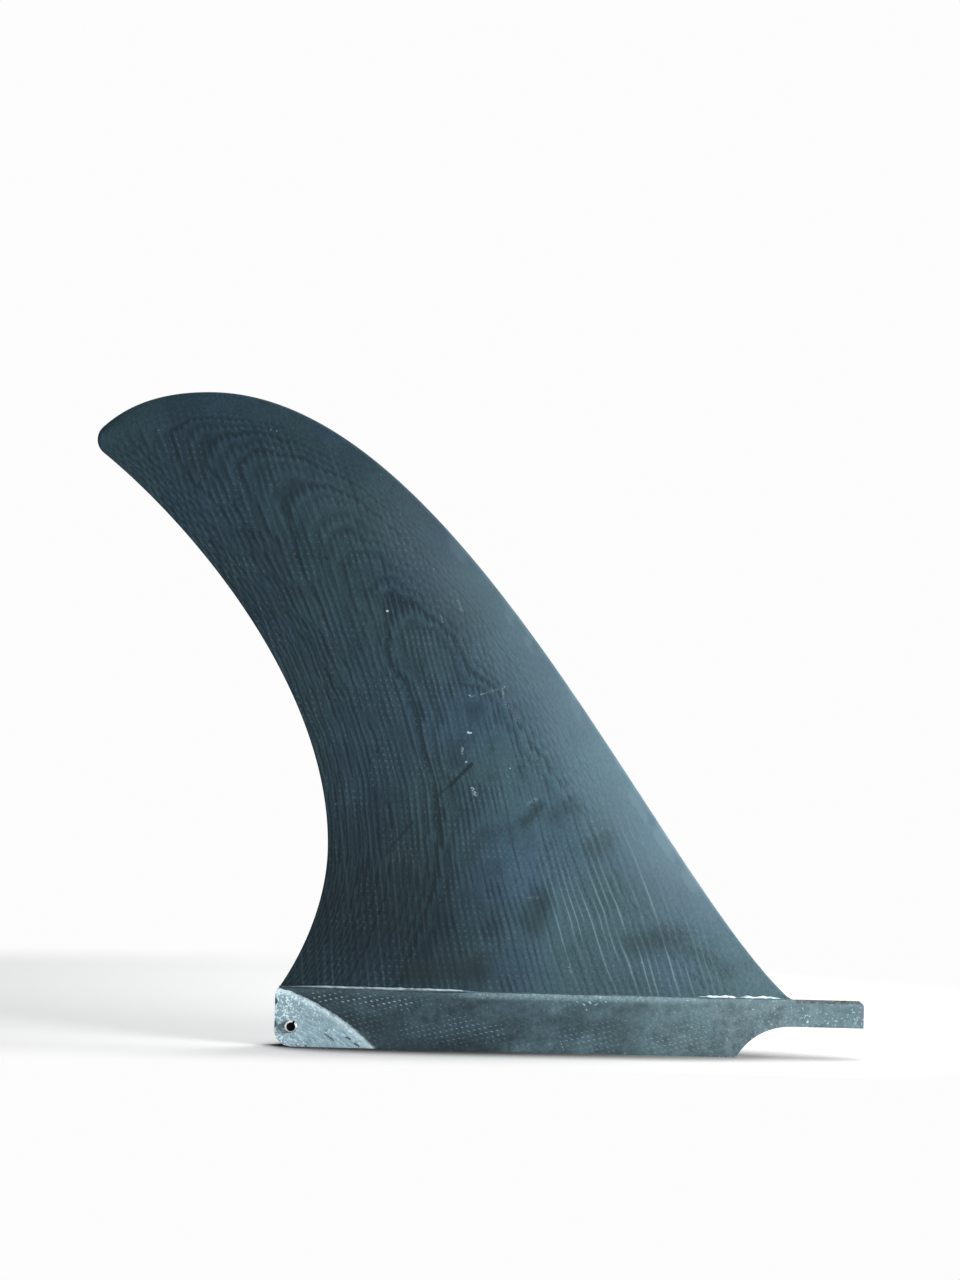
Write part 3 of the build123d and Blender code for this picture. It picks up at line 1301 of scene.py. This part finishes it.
    def specks(self, where: Where) -> Signal:
        """Scattered pinholes and dust that catch the light on both faces.

        Args:
            where: Place on the laminate.

        Returns:
            Strength of the specks.
        """
        cells = where.graph.add(
            "TexVoronoi", {"Vector": where.place, "Scale": 1 / self.speck_cell, "Randomness": 1.0})
        distance = Signal(where.graph, cells.outputs["Distance"]) * self.speck_cell
        chance = Place(where.graph, cells.outputs["Color"]).axis("X")
        return distance.step(*self.speck_size) * chance.step(*self.speck_chance)

    def grit(self, where: Where) -> Signal:
        """Fine grain of the sanded surface, between 0 and 1."""
        return where.place.noise(*self.grain)

    def surface(self, paint: Paint, roughness: object, relief: object) -> bpy.types.Material:
        """Material with a colour, a roughness and a relief in millimetres.

        Args:
            paint: The finished coats.
            roughness: Roughness from 0 to 1.
            relief: Height in millimetres.

        Returns:
            The material.
        """
        return paint.graph.surface({
            "Base Color": paint.colour, "Roughness": roughness, "IOR": self.bend_of_light,
            "Specular IOR Level": self.shine,
        }, relief)


@dataclass(frozen=True)
class BladeFinish(LaminateFinish):
    """The blade, ground through its plies so that they show as rings."""

    yarn_light: Colour = (0.062, 0.096, 0.110)
    resin_edge_and_sheen: Colour = (0.100, 0.152, 0.182)
    top: float = 300.0
    yarn: float = 2.8
    crossing: float = 1.2
    lean: float = 0.36
    low_lean: float = 0.10
    low_lean_height: float = 80.0
    rear_lean: tuple[float, float] = (-70, 30)
    crimp: float = 0.020
    side_shift: float = 40.0
    wide_streaks: tuple[float, float] = (5.0, 60.0)
    fine_streaks: tuple[float, float] = (3.4, 44.0)
    streak_shift: float = 2.4
    yarn_wander: Wander = (34, 2.2)
    yarn_shiver: Wander = (4, 0.16)
    ply_wander: Wander = (3.0, 0.05)
    dim_wander: Wander = (24, 16)
    yarn_gap: Ramp = (-1.0, -0.25, 1, 0)
    gap_breaks: Ramp = (0.34, 0.60, 1, 0.10)
    yarn_crest: Ramp = (0.05, 1.0, 0, 1)
    crest_breaks: Ramp = (0.40, 0.66, 0.15, 1)
    pale_crest: Ramp = (0.50, 1.0, 0, 1)
    pale_breaks: Ramp = (0.42, 0.60, 0, 1)
    dot_crest: Ramp = (0.1, 1.0, 0, 1)
    dot_row: Ramp = (0.1, 0.9, 0, 1)
    dot_patches: Cloud = Cloud(1 / 13, 3, 0.6, (0.42, 0.66, 0, 1))
    mottling: Cloud = Cloud(1.25, 2, 0.6, (0.30, 0.70, 0.84, 1.16), (1, 1, 0.6))
    glossing: Cloud = Cloud(1 / 22, 3, 0.5, (0.3, 0.7, 0.06, -0.05))
    edge_wear_and_sheen: Cloud = Cloud(1 / 16, 3, 0.5, (0.40, 0.60, 0.10, 0.65), (1, 1, 0.5))
    ring_middle: float = 0.45
    ring_contrast: float = 0.5
    ring_share: float = 0.64
    dark_share: float = 0.54
    light_share: float = 0.30
    pale_share: float = 0.36
    dot_share: float = 0.15
    stain_share: float = 0.62
    dot_height: float = 0.008
    light_height: float = 0.005
    dark_height: float = -0.004
    ring_height: float = -0.007
    calm_edge: Ramp = (2, 16, 0, 1)
    front_rings: Ramp = (-16, 44, 1, 0.3)
    tip_rings: Ramp = (165, 235, 1, 0.72)
    front_yarns: Ramp = (-10, 50, 1, 0.5)
    # Painted shade: ramps that darken the low rear of the blade.
    dim_height: Ramp = (44, 118, 1, 0)
    dim_rear: Ramp = (-32, 14, 0.44, 0)
    dim_foot: Ramp = (24, 46, 0.4, 1)
    smooth_edge: tuple[float, float] = (1, 10)
    worn_edge: Ramp = (1, 6, 0.26, 0)
    glow_line: Ramp = (3.6, 6.4, 1, 0)
    glow_band: Ramp = (6, 32, 0.40, 0)
    glow_from: Ramp = (34, 80, 0, 1)
    glow_to: Ramp = (175, 235, 1, 0)

    def across(self, where: Where) -> Signal:
        """Distance across the yarns, which lean back as they rise, in millimetres.

        Args:
            where: Place on the laminate.

        Returns:
            The distance.
        """
        rise = (where.z - self.board_line).most(0.0)
        low = where.graph.math("MINIMUM", rise, self.low_lean_height)
        upright = where.x.step(*self.rear_lean, self.lean - self.low_lean, 0)
        return where.x + rise * self.lean - low * upright + where.place.wander(*self.yarn_wander)

    def along_yarns(self, where: Where, across: Signal, width: float, length: float) -> Signal:
        """Noise drawn out along the yarns.

        Args:
            where: Place on the laminate.
            across: Distance across the yarns, in millimetres.
            width: Width of its streaks, in millimetres.
            length: Their length, in millimetres.

        Returns:
            The noise, between 0 and 1.
        """
        streaks = where.graph.add("CombineXYZ", {
            "X": across / width, "Y": where.near * self.side_shift, "Z": where.z / length})
        return Place(where.graph, streaks.outputs[0]).noise(1.0, 2, 0.6)

    def material(self) -> bpy.types.Material:
        """Material of the blade.

        Returns:
            The material.
        """
        where = Where("ringed_laminate")
        place, graph = where.place, where.graph
        across = self.across(where)
        uneven = self.along_yarns(where, across, *self.fine_streaks)
        shift = (self.along_yarns(where, across, *self.wide_streaks) - 0.5) * self.streak_shift
        across = across + shift + place.wander(*self.yarn_shiver)
        wave = graph.math("COSINE", across * (2 * pi / self.yarn))
        calm = where.from_lead.step(*self.calm_edge)
        ripple = wave * self.crimp + place.stretched(1, 1, 0.35).wander(*self.ply_wander)
        line = self.plies(where, ripple) * calm * where.x.step(*self.front_rings)
        line = line * where.z.step(*self.tip_rings)
        dark = wave.step(*self.yarn_gap) * uneven.step(*self.gap_breaks)
        dark = dark * (calm * where.x.step(*self.front_yarns))
        light = wave.step(*self.yarn_crest) * uneven.step(*self.crest_breaks) * calm
        pale = wave.step(*self.pale_crest) * uneven.step(*self.pale_breaks)
        row = graph.math("SINE", where.z * (pi / self.crossing))
        dots = wave.step(*self.dot_crest) * row.step(*self.dot_row)
        dots = dots * place.cloud(self.dot_patches) * calm
        paint = self.ground(where)
        paint.shade((self.ring_middle - line) * self.ring_contrast + 1.0)
        paint.coat(line * self.ring_share, self.ply_line)
        paint.coat(dark * self.dark_share, self.ply_line)
        paint.shade(place.cloud(self.mottling))
        paint.coat(light * self.light_share, self.yarn_light)
        shown = self.marks(where, MarkKind.KNUCKLES, self.board_line, self.top)
        paint.coat(pale * shown * self.pale_share, self.knuckle)
        paint.coat(dots * self.dot_share, self.knuckle)
        self.weather(where, paint)
        relief = self.grit(where) * where.from_lead.step(*self.smooth_edge, 0.0, self.grit_height)
        for pattern, height in ((dots, self.dot_height), (light, self.light_height),
                                (dark, self.dark_height), (line, self.ring_height)):
            relief = relief + pattern * height
        gloss = place.cloud(self.glossing) + self.gloss
        return self.surface(paint, gloss + where.from_lead.step(*self.worn_edge), relief)

    def weather(self, where: Where, paint: Paint) -> None:
        """Darkens the low rear with painted shade, paints the leading edge pale, partly a resin-rich
        edge and partly painted sheen, and adds the marks and specks.

        Args:
            where: Place on the laminate.
            paint: The blade's coats.
        """
        # Painted shade: the low rear of the blade darker, away from the light from the right.
        dim = where.z.step(*self.dim_height)
        dim = dim * (where.x + where.place.wander(*self.dim_wander)).step(*self.dim_rear)
        paint.shade(1.0 - dim * where.z.step(*self.dim_foot))
        # Pale band along the leading edge: partly its resin-rich edge, partly painted sheen where the
        # edge faces the light.
        glow = where.from_lead.step(*self.glow_line) * where.place.cloud(self.edge_wear_and_sheen)
        glow = glow.most(where.from_lead.step(*self.glow_band))
        glow = glow * (where.z.step(*self.glow_from) * where.z.step(*self.glow_to))
        paint.coat(glow, self.resin_edge_and_sheen)
        tones = ((MarkKind.STAIN, self.stain, self.stain_share),
                 (MarkKind.DARK, self.scratch, 1.0), (MarkKind.PALE, self.chip, 1.0))
        for kind, tone, share in tones:
            paint.coat(self.marks(where, kind, self.board_line, self.top) * share, tone)
        paint.coat(self.specks(where), self.knuckle)


@dataclass(frozen=True)
class TabFinish(LaminateFinish):
    """The tab and its tongue: flat, scuffed, with knuckles of cloth that stand out in patches."""

    blue: Colour = (0.0235, 0.0400, 0.0495)
    green: Colour = (0.0235, 0.0395, 0.0455)
    knuckle: Colour = (0.32, 0.44, 0.49)
    # Painted highlight: the pale tone on the tab's sloped shoulders, where they face the light from
    # above.
    shoulder_highlight: Colour = (0.150, 0.220, 0.245)
    shoulder_drop: float = 2.2
    haze_and_light: Colour = (0.098, 0.142, 0.156)
    rust: Colour = (0.035, 0.028, 0.023)
    lattice: tuple[Triple, Triple] = ((0.336, 0, 0.63), (0.121, 0, -0.509))
    lattice_wander: Wander = (12, 0.8)
    lattice_peak: Ramp = (1.25, 1.9, 0, 1)
    speckling: Cloud = Cloud(0.45, 4, 0.7, (0.30, 0.70, 1.36, 2.12))
    scuffing: Cloud = Cloud(1 / 16, 3, 0.6, (0.36, 0.60, 0.72, 1.12), (1, 1, 2))
    knuckle_patches: Cloud = Cloud(1 / 22, 3, 0.5, (0.50, 0.66, 0.03, 0.24))
    shoulder_highlight_breaks: Cloud = Cloud(0.7, 4, 0.7, (0.34, 0.58, 0.35, 1.0))
    rusting: Cloud = Cloud(0.5, 3, 0.5, (0.35, 0.6, 0.2, 0.9))
    chalking: Cloud = Cloud(1.1, 2, 0.6, (0.60, 0.74, 0, 1))
    haze_grain: Grain = (0.30, 4, 0.65)
    haze_share: Ramp = (0.35, 0.68, 0.25, 0.95)
    haze_gloss: Ramp = (0.3, 0.7, -0.05, 0.10)
    ply_wander: Wander = (3, 0.05)
    ply_share: float = 0.45
    knuckle_share: float = 0.80
    knuckle_height: float = 0.010
    highlight_below: float = 1.2
    highlight_above: float = 0.4
    highlight_from: Ramp = (-30, -8, 0.15, 1)
    highlight_to: Ramp = (66, 84, 1, 0.2)
    haze_and_light_from: Ramp = (18, 104, 0, 1)
    haze_tongue: Ramp = (100, 116, 1, 0.72)
    tongue_from: Ramp = (107, 110, 0, 1)
    tongue_top: Ramp = (21.2, 21.9, 0, 1)
    tongue_dulling: float = 0.42
    chalk_front: Ramp = (40, 120, 0.15, 0.55)

    def knuckles(self, where: Where) -> Signal:
        """Raised crossings of the cloth, in a slanted lattice.

        Args:
            where: Place on the laminate.

        Returns:
            Strength of the crossings.
        """
        field = None
        for wave_vector in self.lattice:
            phase = where.place.gauge("DOT_PRODUCT", Vector(wave_vector) * 2 * pi)
            swing = where.graph.math("COSINE", phase + where.place.wander(*self.lattice_wander))
            field = field + swing if field else swing
        return field.step(*self.lattice_peak)

    def material(self) -> bpy.types.Material:
        """Material of the tab and the tongue.

        Returns:
            The material.
        """
        where = Where("scuffed_laminate")
        place = where.place
        paint = self.ground(where)
        paint.shade(place.cloud(self.speckling))
        paint.shade(place.cloud(self.scuffing))
        paint.coat(self.plies(where, place.wander(*self.ply_wander)) * self.ply_share, self.ply_line)
        raised = self.knuckles(where)
        shown = self.marks(where, MarkKind.KNUCKLES, 0, self.board_line)
        shown = shown.most(place.cloud(self.knuckle_patches))
        paint.coat(raised * shown * self.knuckle_share, self.knuckle)
        # Painted highlight along the top of the tab's cheeks, where the sloped shoulder faces the
        # light from above.
        shoulder = (self.board_line - self.shoulder_drop - self.highlight_below,
                    self.board_line - self.highlight_above)
        shoulder_lit = where.z.step(*shoulder) * place.cloud(self.shoulder_highlight_breaks)
        shoulder_lit = shoulder_lit * (where.x.step(*self.highlight_from) * where.x.step(*self.highlight_to))
        paint.coat(shoulder_lit, self.shoulder_highlight)
        # Pale haze towards the front of the tab and on the tongue: partly their own mottled pale
        # tone, partly painted light that lightens the tab towards the front.
        cloudy = place.noise(*self.haze_grain)
        haze_and_light = where.x.step(*self.haze_and_light_from) * cloudy.step(*self.haze_share)
        paint.coat(haze_and_light * where.x.step(*self.haze_tongue), self.haze_and_light)
        top = where.z.step(*self.tongue_top) * where.x.step(*self.tongue_from)
        paint.coat(top * place.cloud(self.rusting), self.rust)
        paint.coat(self.specks(where), self.knuckle)
        # Chalky specks over the painted shoulder highlight and towards the front.
        chalky = shoulder_lit.most(where.x.step(*self.chalk_front))
        paint.coat(place.cloud(self.chalking) * chalky, self.chip)
        paint.coat(self.marks(where, MarkKind.PALE, 0, self.board_line), self.chip)
        gloss = cloudy.step(*self.haze_gloss) + self.gloss
        relief = self.grit(where) * self.grit_height + raised * self.knuckle_height
        return self.surface(paint, gloss + top * self.tongue_dulling, relief)


@dataclass(frozen=True)
class BareGlassFinish(LaminateFinish):
    """Bare glass where the disc has ground the tab: scored, specked and frayed at its rim."""

    disc: GrindingDisc | None = None
    raw_glass: Colour = (0.25, 0.36, 0.41)
    frayed: Colour = (0.66, 0.82, 0.88)
    scored: Colour = (0.15, 0.24, 0.29)
    score_way: Triple = (0.85, 0, -0.52)
    score_rates: tuple[float, float] = (1.3, 0.30)
    score_grain: Grain = (1.0, 3, 0.65)
    deep_scores: Ramp = (0.32, 0.50, 1, 0)
    high_scores: Ramp = (0.52, 0.72, 0, 0.40)
    blotching: Cloud = Cloud(0.22, 3, 0.6, (0.38, 0.62, 0.18, 0))
    foot_light: Ramp = (3, 12, 1.22, 1.0)
    rim_light: Ramp = (1.8, 3.4, 0.30, 0)
    rear_specks: Ramp = (2, 12, 0.10, 0)
    rim_specks: Ramp = (1.0, 4.0, 0.05, -0.035)
    speck_grain: Grain = (1.15, 2, 0.6)
    speck_edge: Ramp = (0.57, 0.66, 0, 0.9)
    torn_rim: Ramp = (0.9, 2.0, 1, 0)
    tearing: Cloud = Cloud(0.62, 2, 0.5, (0.40, 0.56, 0, 1))
    score_height: float = 0.05
    dulling: float = 0.35
    lowest: float = -1.0
    chip_height: float = 3.1

    def material(self) -> bpy.types.Material:
        """Material of the ground patch.

        Returns:
            The material.
        """
        where = Where("bare_glass")
        place, graph = where.place, where.graph
        flat = place.stretched(1, 0, 1)
        inward = self.disc.radius - flat.gauge("DISTANCE", self.disc.centre)
        along = flat.gauge("DOT_PRODUCT", self.score_way)
        outward_rate, along_rate = self.score_rates
        swirl = graph.add("CombineXYZ", {"X": inward * outward_rate, "Y": along * along_rate})
        scores = Place(graph, swirl.outputs[0]).noise(*self.score_grain)
        paint = Paint(graph, self.raw_glass)
        paint.coat(scores.step(*self.deep_scores), self.scored)
        paint.coat(place.cloud(self.blotching), self.scored)
        paint.coat(scores.step(*self.high_scores), self.frayed)
        paint.coat(inward.step(*self.rim_light), self.frayed)
        paint.shade(where.z.step(*self.foot_light))
        dense = (where.x - self.disc.tab_rear).step(*self.rear_specks)
        specks = place.noise(*self.speck_grain) + (dense + inward.step(*self.rim_specks))
        torn = inward.step(*self.torn_rim) * place.cloud(self.tearing)
        paint.coat(specks.step(*self.speck_edge).most(torn), self.frayed)
        dark = self.marks(where, MarkKind.DARK, self.lowest, self.board_line)
        paint.coat(dark, self.scratch)
        paint.coat(self.marks(where, MarkKind.PALE, self.lowest, self.chip_height), self.chip)
        return self.surface(paint, self.gloss + self.dulling, scores * self.score_height)


@dataclass(frozen=True)
class ResinFinish:
    """Glossy bead of tinted resin with pale streaks along its top: partly frayed glass, partly
    painted highlight.
    """

    board_line: float
    tint: Colour = (0.030, 0.050, 0.060)
    middle: Colour = (0.085, 0.135, 0.155)
    pale: Colour = (0.56, 0.70, 0.76)
    rear_streak: Ramp = (-22, -14, 0.55, 0)
    front_streak: tuple[Ramp, Ramp] = ((69, 73, 0, 1), (101, 104, 1, 0))
    top_highlight: Ramp = (0.55, 0.80, 0, 1)
    streak_breaks: Ramp = (0.32, 0.5, 0, 1)
    middle_share: Ramp = (0.3, 0.7, 0, 1)
    stretch: Triple = (0.22, 1.0, 1.6)
    raggedness: float = 0.5
    lump_height: float = 0.12
    gloss: float = 0.20
    bend_of_light: float = 1.52

    def material(self) -> bpy.types.Material:
        """Material of the bead.

        Returns:
            The material.
        """
        graph = Graph(bpy.data.materials.new("squeezed_resin"))
        place = graph.place()
        x, z = place.axis("X"), place.axis("Z")
        start, end = self.front_streak
        # Pale streaks on the bead's top at the rear and the front: partly frayed glass, partly
        # painted highlight where the top catches the light.
        streaked = x.step(*self.rear_streak).most(x.step(*start) * x.step(*end))
        ragged = place.stretched(*self.stretch).noise(1.0, 4, 0.6)
        top = (z - self.board_line + ragged * self.raggedness).step(*self.top_highlight)
        paint = Paint(graph, self.tint)
        paint.coat(ragged.step(*self.middle_share), self.middle)
        paint.coat(top * (streaked * ragged.step(*self.streak_breaks)), self.pale)
        return graph.surface({
            "Base Color": paint.colour, "Roughness": self.gloss, "IOR": self.bend_of_light,
        }, place.noise(1.1, 3) * self.lump_height)


@dataclass(frozen=True)
class SteelFinish:
    """Bright spring steel with fine drawing lines along the pin."""

    colour: Colour = (0.72, 0.73, 0.74)
    tarnish: Colour = (0.34, 0.34, 0.33)
    tarnishing: Cloud = Cloud(1.3, 4, 0.7, (0.52, 0.70, 0, 1))
    line_stretch: Triple = (9.0, 0.4, 9.0)
    line_gloss: Ramp = (0.3, 0.7, 0.20, 0.34)
    line_height: float = 0.004

    def material(self) -> bpy.types.Material:
        """Material of the pin.

        Returns:
            The material.
        """
        graph = Graph(bpy.data.materials.new("spring_steel"))
        place = graph.place()
        lines = place.stretched(*self.line_stretch).noise(1.0, 2)
        paint = Paint(graph, self.colour)
        paint.coat(place.cloud(self.tarnishing), self.tarnish)
        return graph.surface({"Base Color": paint.colour, "Metallic": 1.0,
                              "Roughness": lines.step(*self.line_gloss)},
                             lines * self.line_height)


@dataclass(frozen=True)
class PaintedBoreShadeFinish:
    """Black painted shade: a plug that stands in for the dark inside of a bore."""

    colour: Colour = (0.0035, 0.0035, 0.004)
    grain_shade: Ramp = (0.3, 0.7, 0.7, 1.3)
    grain_height: float = 0.1
    gloss: float = 0.95
    shine: float = 0.1

    def material(self) -> bpy.types.Material:
        """Material of the painted shade in the pin's bore.

        Returns:
            The material.
        """
        graph = Graph(bpy.data.materials.new("painted_bore_shade"))
        grain = graph.place().noise(3.0, 3)
        paint = Paint(graph, self.colour)
        paint.shade(grain.step(*self.grain_shade))
        return graph.surface({
            "Base Color": paint.colour, "Roughness": self.gloss, "Specular IOR Level": self.shine,
        }, grain * self.grain_height)


def dress(piece: bpy.types.Object, material: bpy.types.Material, slot: Slot) -> None:
    """Gives a new piece its material and its body.

    Args:
        piece: The new piece.
        material: Its finish.
        slot: Not used.
    """
    piece.data.materials.clear()
    piece.data.materials.append(material)
    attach(piece, BODY)
    LOG.info("%s: %d faces", piece.name, len(piece.data.polygons))


@dataclass
class Laminate:
    """The one-piece laminate: blade, tab and tongue, with the resin along their joint."""

    planform: Planform = field(default_factory=Planform)
    crease_angle: float = 32.0
    floor_share: float = 0.9
    rim_slack: float = 1.0

    def __post_init__(self) -> None:
        """Sets out the blade, the tab and the disc that has ground it."""
        self.blade = Blade(self.planform)
        self.tab = Tab(self.planform)
        self.disc = GrindingDisc(self.planform.tab_rear, self.tab.thickness)

    def build(self) -> None:
        """Models and dresses the laminate and its resin."""
        fin = self.tab.build(self.disc)
        work_in(fin, as_object("blade", self.blade.shape()), Joining.ADD)
        fillet = RootFillet(self.planform, self.tab.tongue_top)
        work_in(fin, as_object("root_fillet", fillet.shape()), Joining.ADD)
        self.measure_from_lead(fin)
        fin.data.shade_smooth()
        fin.data.set_sharp_from_angle(angle=radians(self.crease_angle))
        weighted = fin.modifiers.new("even_normals", "WEIGHTED_NORMAL")
        weighted.keep_sharp = True
        line = self.planform.tab_depth
        dress(fin, BladeFinish(line).material(), Slot.LAMINATE)
        for finish in (TabFinish(line), BareGlassFinish(line, disc=self.disc)):
            fin.data.materials.append(finish.material())
        for face in fin.data.polygons:
            face.material_index = self.region(face.center / MM)
        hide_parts("fin")
        bead = as_object("resin_line", ResinLine(self.blade, self.tab).shape())
        bead.data.shade_smooth()
        dress(bead, ResinFinish(line).material(), Slot.LAMINATE)

    def region(self, point: Vector) -> int:
        """Number of the material at a point: the blade's, the tab's or the bare glass.

        Args:
            point: Middle of a face, in millimetres.

        Returns:
            The number.
        """
        if point.z >= self.planform.tab_depth:
            return 0
        centre = self.disc.centre
        inward = self.disc.radius - hypot(point.x - centre.x, point.z - centre.z)
        from_floor = abs(abs(point.y) - self.disc.tab_thickness / 2 + self.disc.depth)
        ground = from_floor < self.disc.depth * self.floor_share and inward > -self.rim_slack
        return 2 if ground else 1

    def measure_from_lead(self, fin: bpy.types.Object) -> None:
        """Notes each point's distance from the leading edge, in millimetres.

        Args:
            fin: The finished laminate.
        """
        line = self.planform.leading_edge().points
        tree = kdtree.KDTree(len(line))
        for index, point in enumerate(line):
            tree.insert(point, index)
        tree.balance()
        layer = fin.data.attributes.new(FROM_LEAD, "FLOAT", "POINT")
        for vert, item in zip(fin.data.vertices, layer.data):
            item.value = tree.find(Vector((vert.co.x, 0, vert.co.z)) / MM)[2]


@dataclass
class CrossPin:
    """Slotted spring pin, with a black plug of painted shade in its bore."""

    place: Vector
    bore_radius: float = 1.72
    length: float = 12.7
    shade_recess: float = 1.0

    def build(self) -> None:
        """Dresses the pin and fills its bore."""
        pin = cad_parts["roll_pin"]
        pin.data.materials.clear()
        pin.data.materials.append(SteelFinish().material())
        LOG.info("roll_pin: dressed")
        # Painted shade: a black plug, set back in the bore, stands in for the bore's dark inside.
        plug = round_bar(Vector((0, 1, 0)), self.place, self.bore_radius,
                         self.length - 2 * self.shade_recess)
        bore_shade = as_object("pin_bore_shade", plug)
        dress(bore_shade, PaintedBoreShadeFinish().material(), Slot.STEEL)


@dataclass(frozen=True)
class Lamp:
    """One soft lamp: where it hangs and points, its width and height, and how it shines."""

    name: str
    place: Triple
    target: Triple
    size: tuple[float, float]
    power: float
    spread: float = 180.0

    def hang(self) -> None:
        """Adds the lamp to the scene."""
        data = bpy.data.lights.new(self.name, "AREA")
        data.shape = "RECTANGLE"
        data.size, data.size_y = self.size
        data.energy = self.power
        data.spread = radians(self.spread)
        lamp = bpy.data.objects.new(self.name, data)
        lamp.location = self.place
        way = Vector(self.target) - Vector(self.place)
        lamp.rotation_euler = way.to_track_quat("-Z", "Y").to_euler()
        lamp.visible_camera = False
        bpy.context.scene.collection.objects.link(lamp)


@dataclass
class Studio:
    """Pale floor, soft lights and a long lens at the photograph's angle, in metres.

    The floor's pool and its ramps are in millimetres.
    """

    view_centre: tuple[float, float] = (-0.0167, 0.1586)
    view_height: float = 0.4954
    view_distance: float = 1.4
    roll: float = 1.4
    sensor: float = 36.0
    floor_radius: float = 4000.0
    floor_colour: Colour = (0.88, 0.88, 0.88)
    pool_middle: Triple = (-120, 150, 0)
    pool_stretch: Triple = (1, 1.5, 1)
    pool_rim: Ramp = (250, 420, 0, 1)
    front_white: Ramp = (-66, -10, 1, 0)
    contact_reach: float = 0.036
    contact_shade: Ramp = (0.58, 0.92, 0.10, 1)
    white: Colour = (0.98, 0.98, 0.98)
    sky: Colour = (0.93, 0.97, 1.0)
    sky_level: float = 0.10
    lamps: tuple[Lamp, ...] = (
        Lamp("window", (0.40, -0.25, 0.11), (-0.05, 0.0, 0.09), (0.26, 0.20), 2.3, 120.0),
        Lamp("roof_light", (0.0, 0.22, 1.3), (0.0, 0.0, 0.0), (1.2, 0.36), 5.2, 120.0),
        Lamp("rear_window", (0.50, 0.65, 0.35), (0.0, 0.0, 0.10), (0.5, 0.5), 5.6),
    )

    def camera(self) -> None:
        """Long-lens camera, level with the middle of the picture and rolled as the photograph is."""
        data = bpy.data.cameras.new("camera")
        data.sensor_width = self.sensor
        data.lens = self.sensor * self.view_distance / self.view_height
        camera = bpy.data.objects.new("camera", data)
        bpy.context.scene.collection.objects.link(camera)
        right, up = heading(self.roll), heading(self.roll + 90)
        turn = Matrix((right, up, right.cross(up))).transposed().to_4x4()
        x, z = self.view_centre
        camera.matrix_world = Matrix.Translation((x, -self.view_distance, z)) @ turn
        bpy.context.scene.camera = camera

    def floor(self) -> None:
        """Round pale floor that fades into the white behind it, with painted contact shade near the
        fin's foot.
        """
        shape = bmesh.new()
        bmesh.ops.create_circle(shape, cap_ends=True, segments=96, radius=self.floor_radius)
        floor = as_object("floor", shape)
        graph = Graph(bpy.data.materials.new("pale_floor"))
        place = graph.place()
        away = place.sum("SUBTRACT", self.pool_middle).stretched(*self.pool_stretch)
        far = place.axis("Y").step(*self.front_white).most(away.gauge("LENGTH").step(*self.pool_rim))
        # Painted shade: the floor's colour darkens near the fin's foot, where the fin hems in the
        # open sky.
        open_sky = graph.add("AmbientOcclusion", {"Distance": self.contact_reach}).outputs["AO"]
        paint = Paint(graph, self.floor_colour)
        paint.shade(Signal(graph, open_sky).step(*self.contact_shade))
        paper = graph.add("BsdfDiffuse", {"Color": paint.colour})
        glow = graph.add("Emission", {"Color": self.white, "Strength": 1.0})
        shaders = {0: far * graph.seen(), 1: paper.outputs[0], 2: glow.outputs[0]}
        floor.data.materials.append(graph.finish(graph.add("MixShader", shaders)))

    def world(self) -> None:
        """Even grey surroundings, seen as white straight, in a gloss or through glass."""
        graph = Graph(bpy.data.worlds.new("surroundings"))
        light = graph.add("Background", {"Color": self.sky, "Strength": self.sky_level})
        white = graph.add("Background", {"Color": self.white, "Strength": 1.0})
        shaders = {0: graph.seen(), 1: light.outputs[0], 2: white.outputs[0]}
        bpy.context.scene.world = graph.finish(graph.add("MixShader", shaders), "OutputWorld")

    def build(self) -> None:
        """Sets up the floor, the lights and the camera."""
        self.floor()
        self.world()
        for lamp in self.lamps:
            lamp.hang()
        self.camera()
        bpy.context.scene.view_settings.view_transform = "Standard"
        LOG.info("studio: floor, lamps and camera")


def main() -> None:
    """Builds the fin's pieces in order, then the studio."""
    logging.basicConfig(level=logging.INFO, format="%(name)s: %(message)s")
    laminate = Laminate()
    laminate.build()
    CrossPin(laminate.tab.pin_place).build()
    Studio().build()


if __name__ == "__main__":
    main()
